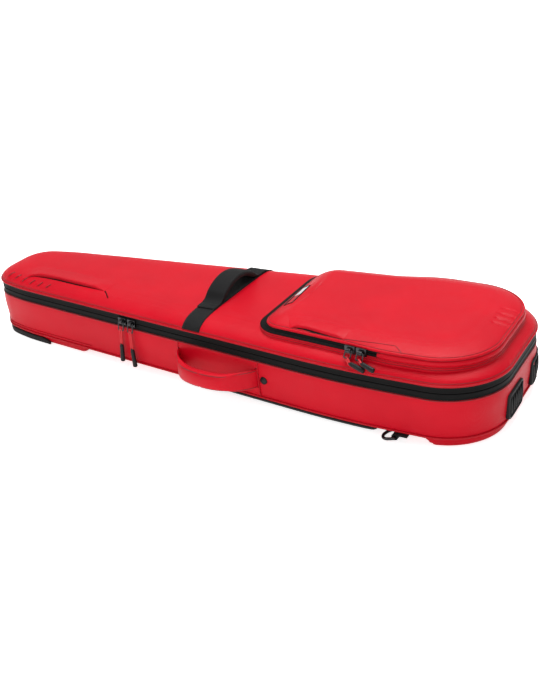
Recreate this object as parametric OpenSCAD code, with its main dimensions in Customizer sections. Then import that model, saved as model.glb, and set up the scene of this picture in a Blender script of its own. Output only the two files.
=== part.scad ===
// Dart-shaped violin case: padded tray and lid closed by a zip band, with a flat pocket on the lid.
// X runs from the narrow (scroll) end to the wide end, the handle side faces -Y, Z is up.
// The origin is on the flat underside of the back pad.

/* [Outline] */
// Length of the padded body
case_l = 820; // [800:5:840]
// Width across the narrow end
narrow_w = 107; // [102:1:112]
// Width at the scroll shoulder
shoulder_w = 143; // [138:1:148]
// Distance of the shoulder from the narrow end
shoulder_x = 70; // [65:1:75]
// Largest width
wide_w = 263; // [258:1:268]
// Distance of the largest width from the narrow end
wide_x = 625; // [615:5:635]
// Width just before the wide end's corners
end_w = 260; // [256:1:262]

/* [Heights] */
// Height of the pads under the body
pad_h = 12.5; // [12:0.5:14]
// Lower edge of the zip band
band_low = 67; // [65:1:68]
// Height at which the lid parts from the tray
part_z = 76; // [75.5:0.5:76.5]
// Upper edge of the zip band
band_top = 85; // [85:0.5:86]
// Top of the lid
crown_z = 101; // [101:0.5:103]

/* [Walls] */
// Thickness of the padded side walls
wall_t = 9; // [8.5:0.5:10]
// Thickness of the tray's floor
floor_t = 3.5; // [3:0.5:4]
// Depth of the zip tape behind the wall's face
tape_t = 6; // [5:0.5:7]

/* [Violin] */
// Radius of the cradle round the lower bout
lower_bout_r = 108; // [104:1:109]
// Radius of the cradle round the upper bout
upper_bout_r = 88; // [84:1:90]
// Width of the neck channel
neck_w = 42; // [38:1:46]

/* [Handle and pulls] */
// Distance between the side handle's ends
handle_l = 129; // [126:1:132]
// How far the side handle stands off its hinge line
handle_bow = 31; // [29:1:32]
// Radius of the zip pulls' grips
grip_r = 3.4; // [3:0.1:3.6]

/* [Pocket] */
// Where the pocket's narrow edge lies
pocket_x0 = 77; // [74:1:80]
// Where the pocket's flap bends
pocket_hinge_x = 262; // [260:1:264]
// Top of the pocket
pocket_top = 121.5; // [121:0.5:123]

/* [Hidden] */
$fn = 48;

red = [0.80, 0.09, 0.14];
black = [0.10, 0.10, 0.10];
plush = [0.16, 0.16, 0.18];
metal = [0.35, 0.35, 0.37];

x_narrow = -case_l / 2;
x_wide = case_l / 2;
x_shoulder = x_narrow + shoulder_x;
x_widest = x_narrow + wide_x;

// Outline corners run anticlockwise from the narrow end's near corner, with a radius for each
near_corners = [[x_narrow, -narrow_w / 2], [x_shoulder, -shoulder_w / 2],
    [x_widest, -wide_w / 2], [x_wide, -end_w / 2]];
end_r = 84;
end_flat = end_w / 2 - end_r;
near_radii = [51, 300, 1200, end_r];
function mirrored(list) = [for (i = [len(list) - 1:-1:0]) [list[i][0], -list[i][1]]];
function reversed(list) = [for (i = [len(list) - 1:-1:0]) list[i]];
case_corners = concat(near_corners, mirrored(near_corners));
case_radii = concat(near_radii, reversed(near_radii));

// The pocket keeps inside the lid's shoulder
pocket_end_x = x_wide - 15;
pocket_bend = [275, -118.5];
pocket_near = [[pocket_x0, -102], pocket_bend, [pocket_end_x, -115]];
pocket_near_radii = [30, 150, 80];
pocket_corners = concat(pocket_near, mirrored(pocket_near));
pocket_radii = concat(pocket_near_radii, reversed(pocket_near_radii));

// The straight flank between shoulder and widest point carries handle, sliders and hinge
flank_slope = (wide_w - shoulder_w) / 2 / (x_widest - x_shoulder);
flank_angle = atan(flank_slope);
flank_y = shoulder_w / 2 - x_shoulder * flank_slope;
pocket_flank_angle = atan((-pocket_bend[1] + pocket_near[0][1]) / (pocket_bend[0] - pocket_x0));
pocket_flank_x = 240;
pocket_flank_y = -pocket_near[0][1] + (pocket_flank_x - pocket_x0) * tan(pocket_flank_angle);

// Profiles are [inset from the outline, height] from rim to crown
lid_outer = [[0, band_top], [1, 88.6], [4.5, 92.3], [11, 95.6], [20, 98.4], [30, 100.2], [40, crown_z]];
lid_inner = [[8, band_top], [9, 88], [13, 91.8], [22, 95.2], [31, 96.8], [40, crown_z - 3.5]];
lining_outer = [[8.4, band_top], [9.4, 87.8], [13.4, 91.4], [22.4, 94.8], [31.2, 96.4], [40.2, crown_z - 3.9]];
lining_inner = [[10.5, band_top], [11.5, 87.2], [15.5, 90.2], [24, 92.8], [32, 94.2], [40.5, crown_z - 6.4]];
strap_t = 1.6;
patch_t = 1.2;
tape_mid = 107.6;
flap_z = 111.5;
gusset_top = 103.9;
pocket_outer = [[0, flap_z], [2, 114.5], [8, 117.5], [18, 120.1], [27, pocket_top]];
pocket_inner = [[4, flap_z], [6, 113.3], [12, 115.1], [20, 116.5], [27, pocket_top - 4]];
pocket_wall_t = 3;

strap_x0 = -28;
strap_x1 = 1;
slider_gap = 0.4;
pocket_slider_gap = 1;
tape_inset = 1;
main_slider_s = [-137, -120];
pocket_slider_s = [-13, 3];
bar_r = 1.1;
bore_r = 1.15;
cord_r = 1.2;
handle_z = 43;
handle_axis_y = -7;
handle_s = 28.5;
pin_r = 1.5;
d_ring_x = 292;
d_ring_z = 8;
d_wire_r = 2;

function unit(v) = v / norm(v);
function left(v) = [-v[1], v[0]];
function turn(u, v) = atan2(u[0] * v[1] - u[1] * v[0], u * v);
function spun(v, a) = [v[0] * cos(a) - v[1] * sin(a), v[0] * sin(a) + v[1] * cos(a)];

// Profile moved outwards along its normals
function lifted(profile, d) = [for (i = [0:len(profile) - 1])
    let (along = profile[min(i + 1, len(profile) - 1)] - profile[max(i - 1, 0)])
    profile[i] + d * [-along[1], along[0]] / norm(along)];

// Rounded outline moved inwards by inset: each corner is an arc about a fixed centre
function outline(c, r, inset) = [for (i = [0:len(c) - 1])
    let (n = len(c), u = unit(c[i] - c[(i + n - 1) % n]), v = unit(c[(i + 1) % n] - c[i]),
        nu = left(u), nv = left(v), centre = c[i] + r[i] * (nu + nv) / (1 + nu * nv),
        a = turn(u, v), steps = max(2, ceil(a / 7)))
    for (k = [0:steps]) centre - (r[i] - inset) * spun(nu, a * k / steps)];

module case_prism(inset, z0, z1) {
    translate([0, 0, z0]) linear_extrude(z1 - z0) polygon(outline(case_corners, case_radii, inset));
}

module case_ring(outer, inner, z0, z1) {
    translate([0, 0, z0]) linear_extrude(z1 - z0) difference() {
        polygon(outline(case_corners, case_radii, outer));
        polygon(outline(case_corners, case_radii, inner));
    }
}

module pocket_ring(outer, inner, z0, z1) {
    translate([0, 0, z0]) linear_extrude(z1 - z0) difference() {
        polygon(outline(pocket_corners, pocket_radii, outer));
        polygon(outline(pocket_corners, pocket_radii, inner));
    }
}

// Surface lofted through a profile, closed below
module loft(c, r, profile) {
    rings = [for (p = profile) for (q = outline(c, r, p[0])) [q[0], q[1], p[1]]];
    n = len(outline(c, r, 0));
    last = (len(profile) - 1) * n;
    sides = [for (i = [0:len(profile) - 2]) for (k = [0:n - 1])
        [i * n + k, (i + 1) * n + k, (i + 1) * n + (k + 1) % n, i * n + (k + 1) % n]];
    polyhedron(rings, concat([[for (k = [0:n - 1]) k]], [[for (k = [n - 1:-1:0]) last + k]], sides));
}

// Hollow shell between an outer and an inner profile, open below
module loft_shell(c, r, outer, inner) {
    n = len(outline(c, r, 0));
    m = len(outer) * n;
    top = (len(outer) - 1) * n;
    top_in = m + (len(inner) - 1) * n;
    points = [for (p = concat(outer, inner)) for (q = outline(c, r, p[0])) [q[0], q[1], p[1]]];
    out_sides = [for (i = [0:len(outer) - 2]) for (k = [0:n - 1])
        [i * n + k, (i + 1) * n + k, (i + 1) * n + (k + 1) % n, i * n + (k + 1) % n]];
    in_sides = [for (i = [0:len(inner) - 2]) for (k = [0:n - 1])
        [m + i * n + k, m + i * n + (k + 1) % n, m + (i + 1) * n + (k + 1) % n, m + (i + 1) * n + k]];
    rim = [for (k = [0:n - 1]) [k, (k + 1) % n, m + (k + 1) % n, m + k]];
    polyhedron(points, concat([[for (k = [n - 1:-1:0]) top + k]], [[for (k = [0:n - 1]) top_in + k]],
        out_sides, in_sides, rim));
}

module box(low, high) {
    translate(low) cube(high - low);
}

// Round bar from one point to another
module rod(a, b, r) {
    d = b - a;
    translate(a) rotate([0, acos(d[2] / norm(d)), atan2(d[1], d[0])]) cylinder(h = norm(d), r = r);
}

// Square bar from one point to another
module square_rod(a, b, w) {
    d = b - a;
    translate(a) rotate([0, acos(d[2] / norm(d)), atan2(d[1], d[0])]) translate([-w / 2, -w / 2, 0])
        cube([w, w, norm(d)]);
}

// Side view drawn in X and Z, carried across the width
module across(points, half) {
    translate([0, half, 0]) rotate([90, 0, 0]) linear_extrude(2 * half) polygon(points);
}

// Local frame on the near flank: X along it, -Y out of the wall
module on_flank(s) {
    translate([0, -flank_y, 0]) rotate([0, 0, -flank_angle]) translate([s, 0, 0]) children();
}

module on_pocket_flank(s) {
    translate([pocket_flank_x, -pocket_flank_y, 0]) rotate([0, 0, -pocket_flank_angle])
        translate([s, 0, 0]) children();
}

// ---- tray ----

module base_shell() {
    color(red) difference() {
        case_prism(0, pad_h, band_low);
        case_prism(wall_t, pad_h + floor_t, band_low + 1);
    }
}

module violin_recess() {
    translate([267, 0]) circle(r = lower_bout_r, $fn = 96);
    translate([107, 0]) circle(r = upper_bout_r, $fn = 96);
    translate([130, -62]) square([90, 124]);
    translate([-170, -neck_w / 2]) square([210, neck_w]);
    translate([-252, -38]) square([90, 76]);
}

module cradle_floor() {
    color(plush) case_prism(wall_t, pad_h + floor_t, pad_h + floor_t + 2);
}

module violin_cradle() {
    color(plush) difference() {
        case_prism(wall_t, pad_h + floor_t + 2, 62);
        translate([0, 0, pad_h + floor_t + 1]) linear_extrude(60) violin_recess();
        intersection() {
            case_prism(wall_t + 6, pad_h + floor_t + 1, 70);
            box([x_narrow, -100, 0], [-270, 100, 80]);
        }
    }
}

module neck_rest() {
    color(plush) difference() {
        box([-120, -neck_w / 2, pad_h + floor_t + 2], [-80, neck_w / 2, 50]);
        translate([-121, 0, 60]) rotate([0, 90, 0]) cylinder(h = 42, r = 16);
    }
}

module neck_straps() {
    color(black) for (side = [-1, 1])
        translate([-112, side * 40 - 17, 62]) cube([25, 34, 2]);
}

module accessory_box() {
    color(black) difference() {
        intersection() {
            case_prism(wall_t + 6.2, pad_h + floor_t + 2, 60);
            box([x_narrow, -100, 0], [-270.4, 100, 80]);
        }
        intersection() {
            case_prism(wall_t + 8.2, pad_h + floor_t + 4, 70);
            box([x_narrow, -100, 0], [-272.4, 100, 80]);
        }
    }
}

module lower_zip_tape() {
    color(black) case_ring(tape_inset, tape_inset + tape_t, band_low, part_z - 0.2);
}

module base_piping() {
    color(red) case_ring(-1.5, 0, pad_h, pad_h + 3);
}

module narrow_foot_pad() {
    color(red) intersection() {
        case_prism(6, 0, pad_h);
        across([[x_narrow, 0], [-230, 0], [-218, pad_h], [x_narrow, pad_h]], 120);
    }
}

module narrow_bumper() {
    color(black) intersection() {
        case_ring(2, 6, 0, 8.5);
        box([x_narrow - 5, -120, -1], [-298, 120, 10]);
    }
}

module back_pad() {
    color(black) intersection() {
        case_prism(6, 0, pad_h);
        across([[-34, pad_h], [-34, 6], [-20, 0], [236, 0], [266, 6], [266, pad_h]], 140);
    }
}

module wide_foot_pad() {
    color(red) intersection() {
        case_prism(5, 0, pad_h);
        across([[322, pad_h], [336, 0], [x_wide, 0], [x_wide, pad_h]], 140);
    }
}

// Ribbed rubber foot on the wide end, shaped to the wall behind it; along runs from the end's middle round its corner
module wide_end_foot(side, along) {
    turn_a = max(0, along - end_flat) / end_r * 180 / PI;
    color(black) difference() {
        translate([x_wide - end_r, side * min(along, end_flat), 0]) rotate([0, 0, side * turn_a])
            translate([end_r, 0, 16]) {
            box([-8, -26, 0], [3, 26, 36]);
            for (i = [-2:2]) box([2, i * 9 - 2.5, 4], [7, i * 9 + 2.5, 32]);
        }
        case_prism(0, 0, 70);
    }
}

module wide_end_foot_near() {
    wide_end_foot(-1, 33);
}

module wide_end_foot_far() {
    wide_end_foot(1, 61);
}

module strap_tab(side) {
    color(black) difference() {
        union() {
            box([d_ring_x + 3, side * 126 - 9, pad_h - 2.6], [d_ring_x + 16, side * 126 + 9, pad_h]);
            translate([d_ring_x, side * 126 + 9, d_ring_z]) rotate([90, 0, 0]) cylinder(h = 18, r = 4.4);
        }
        translate([d_ring_x, side * 126 + 10, d_ring_z]) rotate([90, 0, 0])
            cylinder(h = 20, r = d_wire_r + 0.05);
    }
}

module strap_tab_near() {
    strap_tab(-1);
}

module strap_tab_far() {
    strap_tab(1);
}

// Wire ring, drooping from its bar until it rests on the ground
module d_ring(side) {
    reach = 19;
    half = 12.5;
    droop = asin((d_ring_z - d_wire_r - 0.1) / (reach + d_wire_r));
    color(metal) translate([d_ring_x, side * 126, d_ring_z]) rotate([0, -droop, 0]) {
        rod([0, -half, 0], [0, half, 0], d_wire_r);
        for (s = [-1, 1]) {
            translate([0, s * half, 0]) sphere(r = d_wire_r);
            rod([0, s * half, 0], [-reach + half, s * half, 0], d_wire_r);
        }
        translate([-reach + half, 0, 0]) rotate([0, 0, 90]) rotate_extrude(angle = 180)
            translate([half, 0]) circle(r = d_wire_r, $fn = 32);
    }
}

module d_ring_near() {
    d_ring(-1);
}

module d_ring_far() {
    d_ring(1);
}

module handle_panel() {
    color(red) on_flank(handle_s) box([-handle_l / 2 - 2, -1.6, 20], [handle_l / 2 + 2, 0, 65]);
}

// Stiffened seam ends that the handle's pins turn in
module handle_anchors() {
    color(red) on_flank(handle_s) for (s = [-1, 1]) difference() {
        translate([s * (handle_l / 2 + 0.5) - 1.75, handle_axis_y - 2.5, handle_z - 12]) cube([3.5, 7.9, 24]);
        translate([s * (handle_l / 2 + 0.5) - 3, handle_axis_y, handle_z]) rotate([0, 90, 0])
            cylinder(h = 6, r = pin_r + 0.05);
    }
}

module snap_stud() {
    color(black) on_flank(103) translate([0, 0, 41]) rotate([90, 0, 0]) {
        cylinder(h = 2, r = 5);
        translate([0, 0, 2]) cylinder(h = 1.4, r1 = 3.6, r2 = 3);
    }
}

module side_handle() {
    chord = handle_l / 2 - 5;
    radius = (chord * chord + handle_bow * handle_bow) / (2 * handle_bow);
    grip_a = 31;
    end_a = asin(chord / radius);
    color(red) on_flank(handle_s) translate([0, handle_axis_y, handle_z]) {
        translate([0, -handle_bow + radius, 0]) rotate([0, 0, -90]) {
            rotate([0, 0, -grip_a]) rotate_extrude(angle = 2 * grip_a, $fn = 96)
                translate([radius - 6.5, -12]) square([13, 24]);
            for (a = [-end_a, grip_a - 1]) rotate([0, 0, a])
                rotate_extrude(angle = end_a - grip_a + 1, $fn = 96)
                    translate([radius - 4, -4]) square([8, 8]);
        }
        for (s = [-1, 1]) {
            translate([s * (chord - 3) - 6, 0, 0]) rotate([0, 90, 0]) cylinder(h = 12, r = 4.4);
            translate([s * (handle_l / 2 - 3) - 4, 0, 0]) rotate([0, 90, 0]) cylinder(h = 8, r = pin_r);
        }
    }
}

// Slider for the zip: face plate, throat and the bridge that the pull turns in; origin at its middle
module zip_slider() {
    color(metal) {
        box([-7, -2.2, -5], [7, 0, 5]);
        difference() {
            union() {
                box([-3, -4.5, -3.2], [3, -2.2, 3.2]);
                translate([-3, -4.5, 0]) rotate([0, 90, 0]) cylinder(h = 6, r = 2.4);
            }
            translate([-4, -4.5, 0]) rotate([0, 90, 0]) cylinder(h = 8, r = bore_r);
        }
    }
}

// Wire bail: bar through the bridge, two legs and a foot bar
module zip_bail(foot) {
    half = 4.4;
    leg_w = 1.7;
    color(metal) {
        rod([-half - leg_w / 2, -4.5, 0], [half + leg_w / 2, -4.5, 0], bar_r);
        for (s = [-1, 1]) square_rod([s * half, -4.5, 0], foot + [s * half, 0, 0], leg_w);
        rod(foot - [half + leg_w / 2, 0, 0], foot + [half + leg_w / 2, 0, 0], bar_r);
    }
}

// Cord loop round the bail's foot, then both strands together down to the grip
module zip_cord(foot, grip_top) {
    loop_r = bar_r + cord_r + 0.1;
    way = grip_top - foot;
    color(red) {
        translate(foot) rotate([0, 90, 0]) rotate_extrude($fn = 32) translate([loop_r, 0]) circle(r = cord_r);
        rod(foot + loop_r * unit([0, way[1], way[2]]), grip_top, cord_r * 1.4);
    }
}

module zip_grip(top, end) {
    axis = unit(end - top);
    color(black) {
        rod(top, top + 6 * axis, grip_r * 0.8);
        rod(top + 5 * axis, end, grip_r);
    }
}

main_foot = [0, -6.5, -12.3];
main_top = [[-2, -7, -33], [0, -7, -37]];
main_end = [[-4, -7, -62], [2, -7, -66]];

module main_slider(i) {
    on_flank(main_slider_s[i]) translate([0, tape_inset - slider_gap, part_z]) zip_slider();
}

module main_bail(i) {
    on_flank(main_slider_s[i]) translate([0, tape_inset - slider_gap, part_z]) zip_bail(main_foot);
}

module main_cord(i) {
    on_flank(main_slider_s[i]) translate([0, tape_inset - slider_gap, part_z]) zip_cord(main_foot, main_top[i]);
}

module main_grip(i) {
    on_flank(main_slider_s[i]) translate([0, tape_inset - slider_gap, part_z])
        zip_grip(main_top[i], main_end[i]);
}

module main_slider_1() {
    main_slider(0);
}

module main_bail_1() {
    main_bail(0);
}

module main_cord_1() {
    main_cord(0);
}

module main_grip_1() {
    main_grip(0);
}

module main_slider_2() {
    main_slider(1);
}

module main_bail_2() {
    main_bail(1);
}

module main_cord_2() {
    main_cord(1);
}

module main_grip_2() {
    main_grip(1);
}

// ---- lid ----

module hinge_strip() {
    hinge_half = 240;
    color(black) mirror([0, 1, 0]) on_flank(-60)
        box([-hinge_half, -1.4, band_low - 8], [hinge_half, -0.2, part_z - 0.4]);
}

module lid_shell() {
    color(red) loft_shell(case_corners, case_radii, lid_outer, lid_inner);
}

module lid_lining() {
    color(plush) loft_shell(case_corners, case_radii, lining_outer, lining_inner);
}

module upper_zip_tape() {
    color(black) case_ring(tape_inset, tape_inset + tape_t, part_z + 0.2, band_top);
}

module lid_piping() {
    color(red) case_ring(-1.5, 0, band_top, band_top + 3);
}

// Band lying on the lid between two heights above its surface
module lid_band(low, high, corner_a, corner_b) {
    intersection() {
        difference() {
            loft(case_corners, case_radii, lifted(lid_outer, high));
            loft(case_corners, case_radii, lifted(lid_outer, low));
        }
        box(corner_a, corner_b);
    }
}

module lid_strap() {
    color(black) lid_band(0, strap_t, [strap_x0, -150, band_top + 3.4], [strap_x1, 150, 120]);
}

module strap_patches() {
    color(black) for (low_y = [-76, 62])
        lid_band(strap_t, strap_t + patch_t, [strap_x0, low_y, band_top], [strap_x1, low_y + 26, 120]);
}

module grab_handle() {
    half = 50;
    rise = 20;
    middle_y = 6;
    radius = (half * half + rise * rise) / (2 * rise);
    color(black) translate([strap_x0 + 2, middle_y, crown_z + strap_t]) difference() {
        translate([0, 0, rise - radius]) rotate([0, 90, 0]) difference() {
            cylinder(h = 25, r = radius + 3.5, $fn = 128);
            translate([0, 0, -1]) cylinder(h = 27, r = radius - 3.5, $fn = 128);
        }
        translate([-1, -200, -400]) cube([40, 400, 400]);
    }
}

module bow_tip_pockets() {
    color(plush) for (side = [-1, 1]) difference() {
        box([-340, side * 20 - 11, 84], [-290, side * 20 + 11, crown_z - 6.4]);
        box([-338, side * 20 - 9, 86], [-289, side * 20 + 9, crown_z - 8.4]);
    }
}

// Turning clip that holds a bow's stick against the lid
module bow_spinner(side) {
    top = crown_z - 6.4;
    color(black) translate([300, side * 30, 0]) {
        translate([0, 0, top - 12]) cylinder(h = 12, r = 4);
        translate([0, 0, top - 16]) cylinder(h = 4, r = 6);
        box([-20, -4.5, top - 16], [20, 4.5, top - 12]);
    }
}

module bow_spinner_1() {
    bow_spinner(-1);
}

module bow_spinner_2() {
    bow_spinner(1);
}

// ---- pocket on the lid ----

module before_hinge(gap) {
    box([0, -200, 90], [pocket_hinge_x - gap, 200, 140]);
}

module pocket_gusset() {
    color(red) difference() {
        pocket_ring(0, pocket_wall_t, 92.5, gusset_top);
        loft(case_corners, case_radii, lid_outer);
    }
}

module pocket_lower_tape() {
    color(black) intersection() {
        pocket_ring(0, pocket_wall_t, gusset_top, tape_mid - 0.2);
        before_hinge(0.3);
    }
}

module pocket_upper_tape() {
    color(black) intersection() {
        pocket_ring(0, pocket_wall_t + 1, tape_mid + 0.2, flap_z);
        before_hinge(0.3);
    }
}

module pocket_flap() {
    color(red) intersection() {
        loft_shell(pocket_corners, pocket_radii, pocket_outer, pocket_inner);
        before_hinge(0.3);
    }
}

module pocket_rear() {
    color(red) {
        difference() {
            pocket_ring(0, pocket_wall_t + 1, gusset_top, flap_z);
            before_hinge(0);
        }
        difference() {
            loft_shell(pocket_corners, pocket_radii, pocket_outer, pocket_inner);
            before_hinge(0);
        }
    }
}

// Height of the pocket's top beside its narrow edge
function label_seat(x) = lookup(x - pocket_x0, pocket_outer);

// Thin plate that lies on the pocket's top between two corners
module label_layer(low, high, thick) {
    xs = [low[0], pocket_x0 + 27, high[0]];
    translate([0, high[1], 0]) rotate([90, 0, 0]) linear_extrude(high[1] - low[1])
        polygon(concat([for (x = xs) [x, label_seat(x)]],
                       [for (i = [2:-1:0]) [xs[i], label_seat(xs[i]) + thick]]));
}

module label_frame() {
    color(black) difference() {
        label_layer([95, -42], [108, 26], 1.2);
        box([96.6, -40.4, pocket_top - 6], [106.4, 24.4, pocket_top + 3]);
    }
}

module label_plate() {
    color([0.85, 0.85, 0.86]) label_layer([96.8, -8], [106.2, 24.2], 0.8);
}

pocket_foot = [[-1, -8, -8.5], [0, -8, -8.5]];
pocket_top_pt = [[6, -14.5, -11], [7, -15.5, -7]];
pocket_end_pt = [[29, -18.5, -15], [27, -19.5, -11]];

module pocket_slider(i) {
    on_pocket_flank(pocket_slider_s[i]) translate([0, -pocket_slider_gap, tape_mid]) zip_slider();
}

module pocket_bail(i) {
    on_pocket_flank(pocket_slider_s[i]) translate([0, -pocket_slider_gap, tape_mid]) zip_bail(pocket_foot[i]);
}

module pocket_cord(i) {
    on_pocket_flank(pocket_slider_s[i]) translate([0, -pocket_slider_gap, tape_mid])
        zip_cord(pocket_foot[i], pocket_top_pt[i]);
}

module pocket_grip(i) {
    on_pocket_flank(pocket_slider_s[i]) translate([0, -pocket_slider_gap, tape_mid])
        zip_grip(pocket_top_pt[i], pocket_end_pt[i]);
}

module pocket_slider_1() {
    pocket_slider(0);
}

module pocket_bail_1() {
    pocket_bail(0);
}

module pocket_cord_1() {
    pocket_cord(0);
}

module pocket_grip_1() {
    pocket_grip(0);
}

module pocket_slider_2() {
    pocket_slider(1);
}

module pocket_bail_2() {
    pocket_bail(1);
}

module pocket_cord_2() {
    pocket_cord(1);
}

module pocket_grip_2() {
    pocket_grip(1);
}

base_shell();
cradle_floor();
violin_cradle();
neck_rest();
neck_straps();
accessory_box();
lower_zip_tape();
base_piping();
narrow_foot_pad();
narrow_bumper();
back_pad();
wide_foot_pad();
wide_end_foot_near();
wide_end_foot_far();
strap_tab_near();
strap_tab_far();
handle_panel();
handle_anchors();
snap_stud();
hinge_strip();
d_ring_near();
d_ring_far();
side_handle();
main_slider_1();
main_bail_1();
main_cord_1();
main_grip_1();
main_slider_2();
main_bail_2();
main_cord_2();
main_grip_2();
lid_shell();
lid_lining();
upper_zip_tape();
lid_piping();
lid_strap();
strap_patches();
grab_handle();
bow_tip_pockets();
bow_spinner_1();
bow_spinner_2();
pocket_gusset();
pocket_lower_tape();
pocket_rear();
pocket_flap();
pocket_upper_tape();
label_frame();
label_plate();
pocket_slider_1();
pocket_bail_1();
pocket_cord_1();
pocket_grip_1();
pocket_slider_2();
pocket_bail_2();
pocket_cord_2();
pocket_grip_2();
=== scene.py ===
import math

import bmesh
import bpy
import numpy as np
from mathutils import Matrix, Vector
from mathutils.bvhtree import BVHTree


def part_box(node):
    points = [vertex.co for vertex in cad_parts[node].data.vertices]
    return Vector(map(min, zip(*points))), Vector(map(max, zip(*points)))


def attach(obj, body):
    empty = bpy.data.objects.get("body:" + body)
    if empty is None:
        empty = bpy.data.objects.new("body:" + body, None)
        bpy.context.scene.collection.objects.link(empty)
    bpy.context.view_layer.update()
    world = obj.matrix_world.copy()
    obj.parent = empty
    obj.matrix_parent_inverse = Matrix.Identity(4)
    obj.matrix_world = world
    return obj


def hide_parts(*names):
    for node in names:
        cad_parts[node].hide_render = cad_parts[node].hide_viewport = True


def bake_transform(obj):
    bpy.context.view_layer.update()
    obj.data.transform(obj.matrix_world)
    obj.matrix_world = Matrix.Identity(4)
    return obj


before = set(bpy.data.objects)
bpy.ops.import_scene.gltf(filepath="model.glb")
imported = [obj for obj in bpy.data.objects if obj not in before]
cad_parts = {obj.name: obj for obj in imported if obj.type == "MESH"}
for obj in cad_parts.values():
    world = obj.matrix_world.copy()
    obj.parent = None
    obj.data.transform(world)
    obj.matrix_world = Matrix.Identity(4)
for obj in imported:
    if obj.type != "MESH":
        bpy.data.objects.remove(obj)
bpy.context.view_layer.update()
scene = bpy.context.scene
mm = 0.001


view = {"target": (52.4, 0, 19.8), "azimuth": 30.1, "elevation": 26.75, "roll": -4.1, "distance": 1498.3,
        "lens": 54.19, "sensor": 36, "shift": (-0.006, 0), "clipEnd": 20}


def addCamera():
    azimuth, elevation = math.radians(view["azimuth"]), math.radians(view["elevation"])
    outward = Vector((math.sin(azimuth) * math.cos(elevation), -math.cos(azimuth) * math.cos(elevation),
                      math.sin(elevation)))
    roll = math.radians(view["roll"])
    right = Vector((math.cos(azimuth), math.sin(azimuth), 0))
    up = outward.cross(right)
    turnedRight = right * math.cos(roll) + up * math.sin(roll)
    turnedUp = up * math.cos(roll) - right * math.sin(roll)
    data = bpy.data.cameras.new("camera")
    data.lens = view["lens"]
    data.sensor_width = view["sensor"]
    data.shift_x, data.shift_y = view["shift"]
    data.clip_end = view["clipEnd"]
    camera = bpy.data.objects.new("camera", data)
    place = (Vector(view["target"]) + outward * view["distance"]) * mm
    turned = Matrix((turnedRight, turnedUp, outward)).transposed().to_4x4()
    camera.matrix_world = Matrix.Translation(place) @ turned
    scene.collection.objects.link(camera)
    scene.camera = camera


addCamera()

# sky and floor are brighter for the camera's own rays, by the first number, than for the case
studio = {"sky": (0.6, 0.42), "floorGlow": (0.5, 0.2), "floorHalf": 6, "floorZ": -0.0006,
          "lights": {"topSoftbox": ((0.1, 0.5, 1.9), (0.1, 0, 0), (1.3, 0.8), 42),
                     "frontSoftbox": ((0.5, -2.0, 0.9), (0, 0, 0.05), (1.6, 0.9), 15),
                     "leftSoftbox": ((-1.7, -0.9, 1.0), (-0.2, 0, 0.05), (0.8, 1.2), 5)}}


def addLight(name, place, aim, size, power):
    data = bpy.data.lights.new(name, "AREA")
    data.shape = "RECTANGLE"
    data.size, data.size_y = size
    data.energy = power
    light = bpy.data.objects.new(name, data)
    light.location = place
    light.rotation_euler = (Vector(aim) - Vector(place)).to_track_quat("-Z", "Y").to_euler()
    scene.collection.objects.link(light)


def glowFor(tree, socket, strengths):
    rays = addNode(tree, "ShaderNodeLightPath")
    lift = addNode(tree, "ShaderNodeMath", operation="MULTIPLY_ADD")
    lift.inputs[1].default_value, lift.inputs[2].default_value = strengths
    tree.links.new(rays.outputs["Is Camera Ray"], lift.inputs[0])
    tree.links.new(lift.outputs[0], socket)


def addStudio():
    world = bpy.data.worlds.new("studio")
    world.use_nodes = True
    sky = world.node_tree.nodes["Background"]
    sky.inputs["Color"].default_value = (1, 1, 1, 1)
    glowFor(world.node_tree, sky.inputs["Strength"], studio["sky"])
    scene.world = world
    scene.view_settings.view_transform = "Standard"
    for name, values in studio["lights"].items():
        addLight(name, *values)
    half = studio["floorHalf"]
    corners = [(x * half, y * half, studio["floorZ"]) for x, y in ((-1, -1), (1, -1), (1, 1), (-1, 1))]
    floorMesh = bpy.data.meshes.new("floor")
    floorMesh.from_pydata(corners, [], [(0, 1, 2, 3)])
    floor = bpy.data.objects.new("floor", floorMesh)
    scene.collection.objects.link(floor)
    paper, tree, shader = newMaterial("paleFloor", (0.97, 0.97, 0.97), 0.9)
    shader.inputs["Emission Color"].default_value = (1, 1, 1, 1)
    glowFor(tree, shader.inputs["Emission Strength"], studio["floorGlow"])
    floorMesh.materials.append(paper)


def newMaterial(name, colour, roughness, metallic=0.0, specular=0.5, sheen=0.0):
    material = bpy.data.materials.new(name)
    material.use_nodes = True
    tree = material.node_tree
    shader = tree.nodes["Principled BSDF"]
    for socket, value in (("Base Color", (*colour, 1)), ("Roughness", roughness), ("Metallic", metallic),
                          ("Specular IOR Level", specular), ("Sheen Weight", sheen)):
        shader.inputs[socket].default_value = value
    return material, tree, shader


def addNode(tree, kind, **values):
    node = tree.nodes.new(kind)
    for key, value in values.items():
        setattr(node, key, value)
    return node


def objectPoints(tree, scale):
    coordinates = addNode(tree, "ShaderNodeTexCoord")
    mapping = addNode(tree, "ShaderNodeMapping")
    mapping.inputs["Scale"].default_value = scale
    tree.links.new(coordinates.outputs["Object"], mapping.inputs["Vector"])
    return mapping.outputs["Vector"]


def sineWaves(tree, scale):
    # a sine along each axis, as a vector and as its three parts
    sines = addNode(tree, "ShaderNodeVectorMath", operation="SINE")
    tree.links.new(objectPoints(tree, scale), sines.inputs[0])
    apart = addNode(tree, "ShaderNodeSeparateXYZ")
    tree.links.new(sines.outputs[0], apart.inputs[0])
    return sines.outputs[0], apart.outputs


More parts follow.
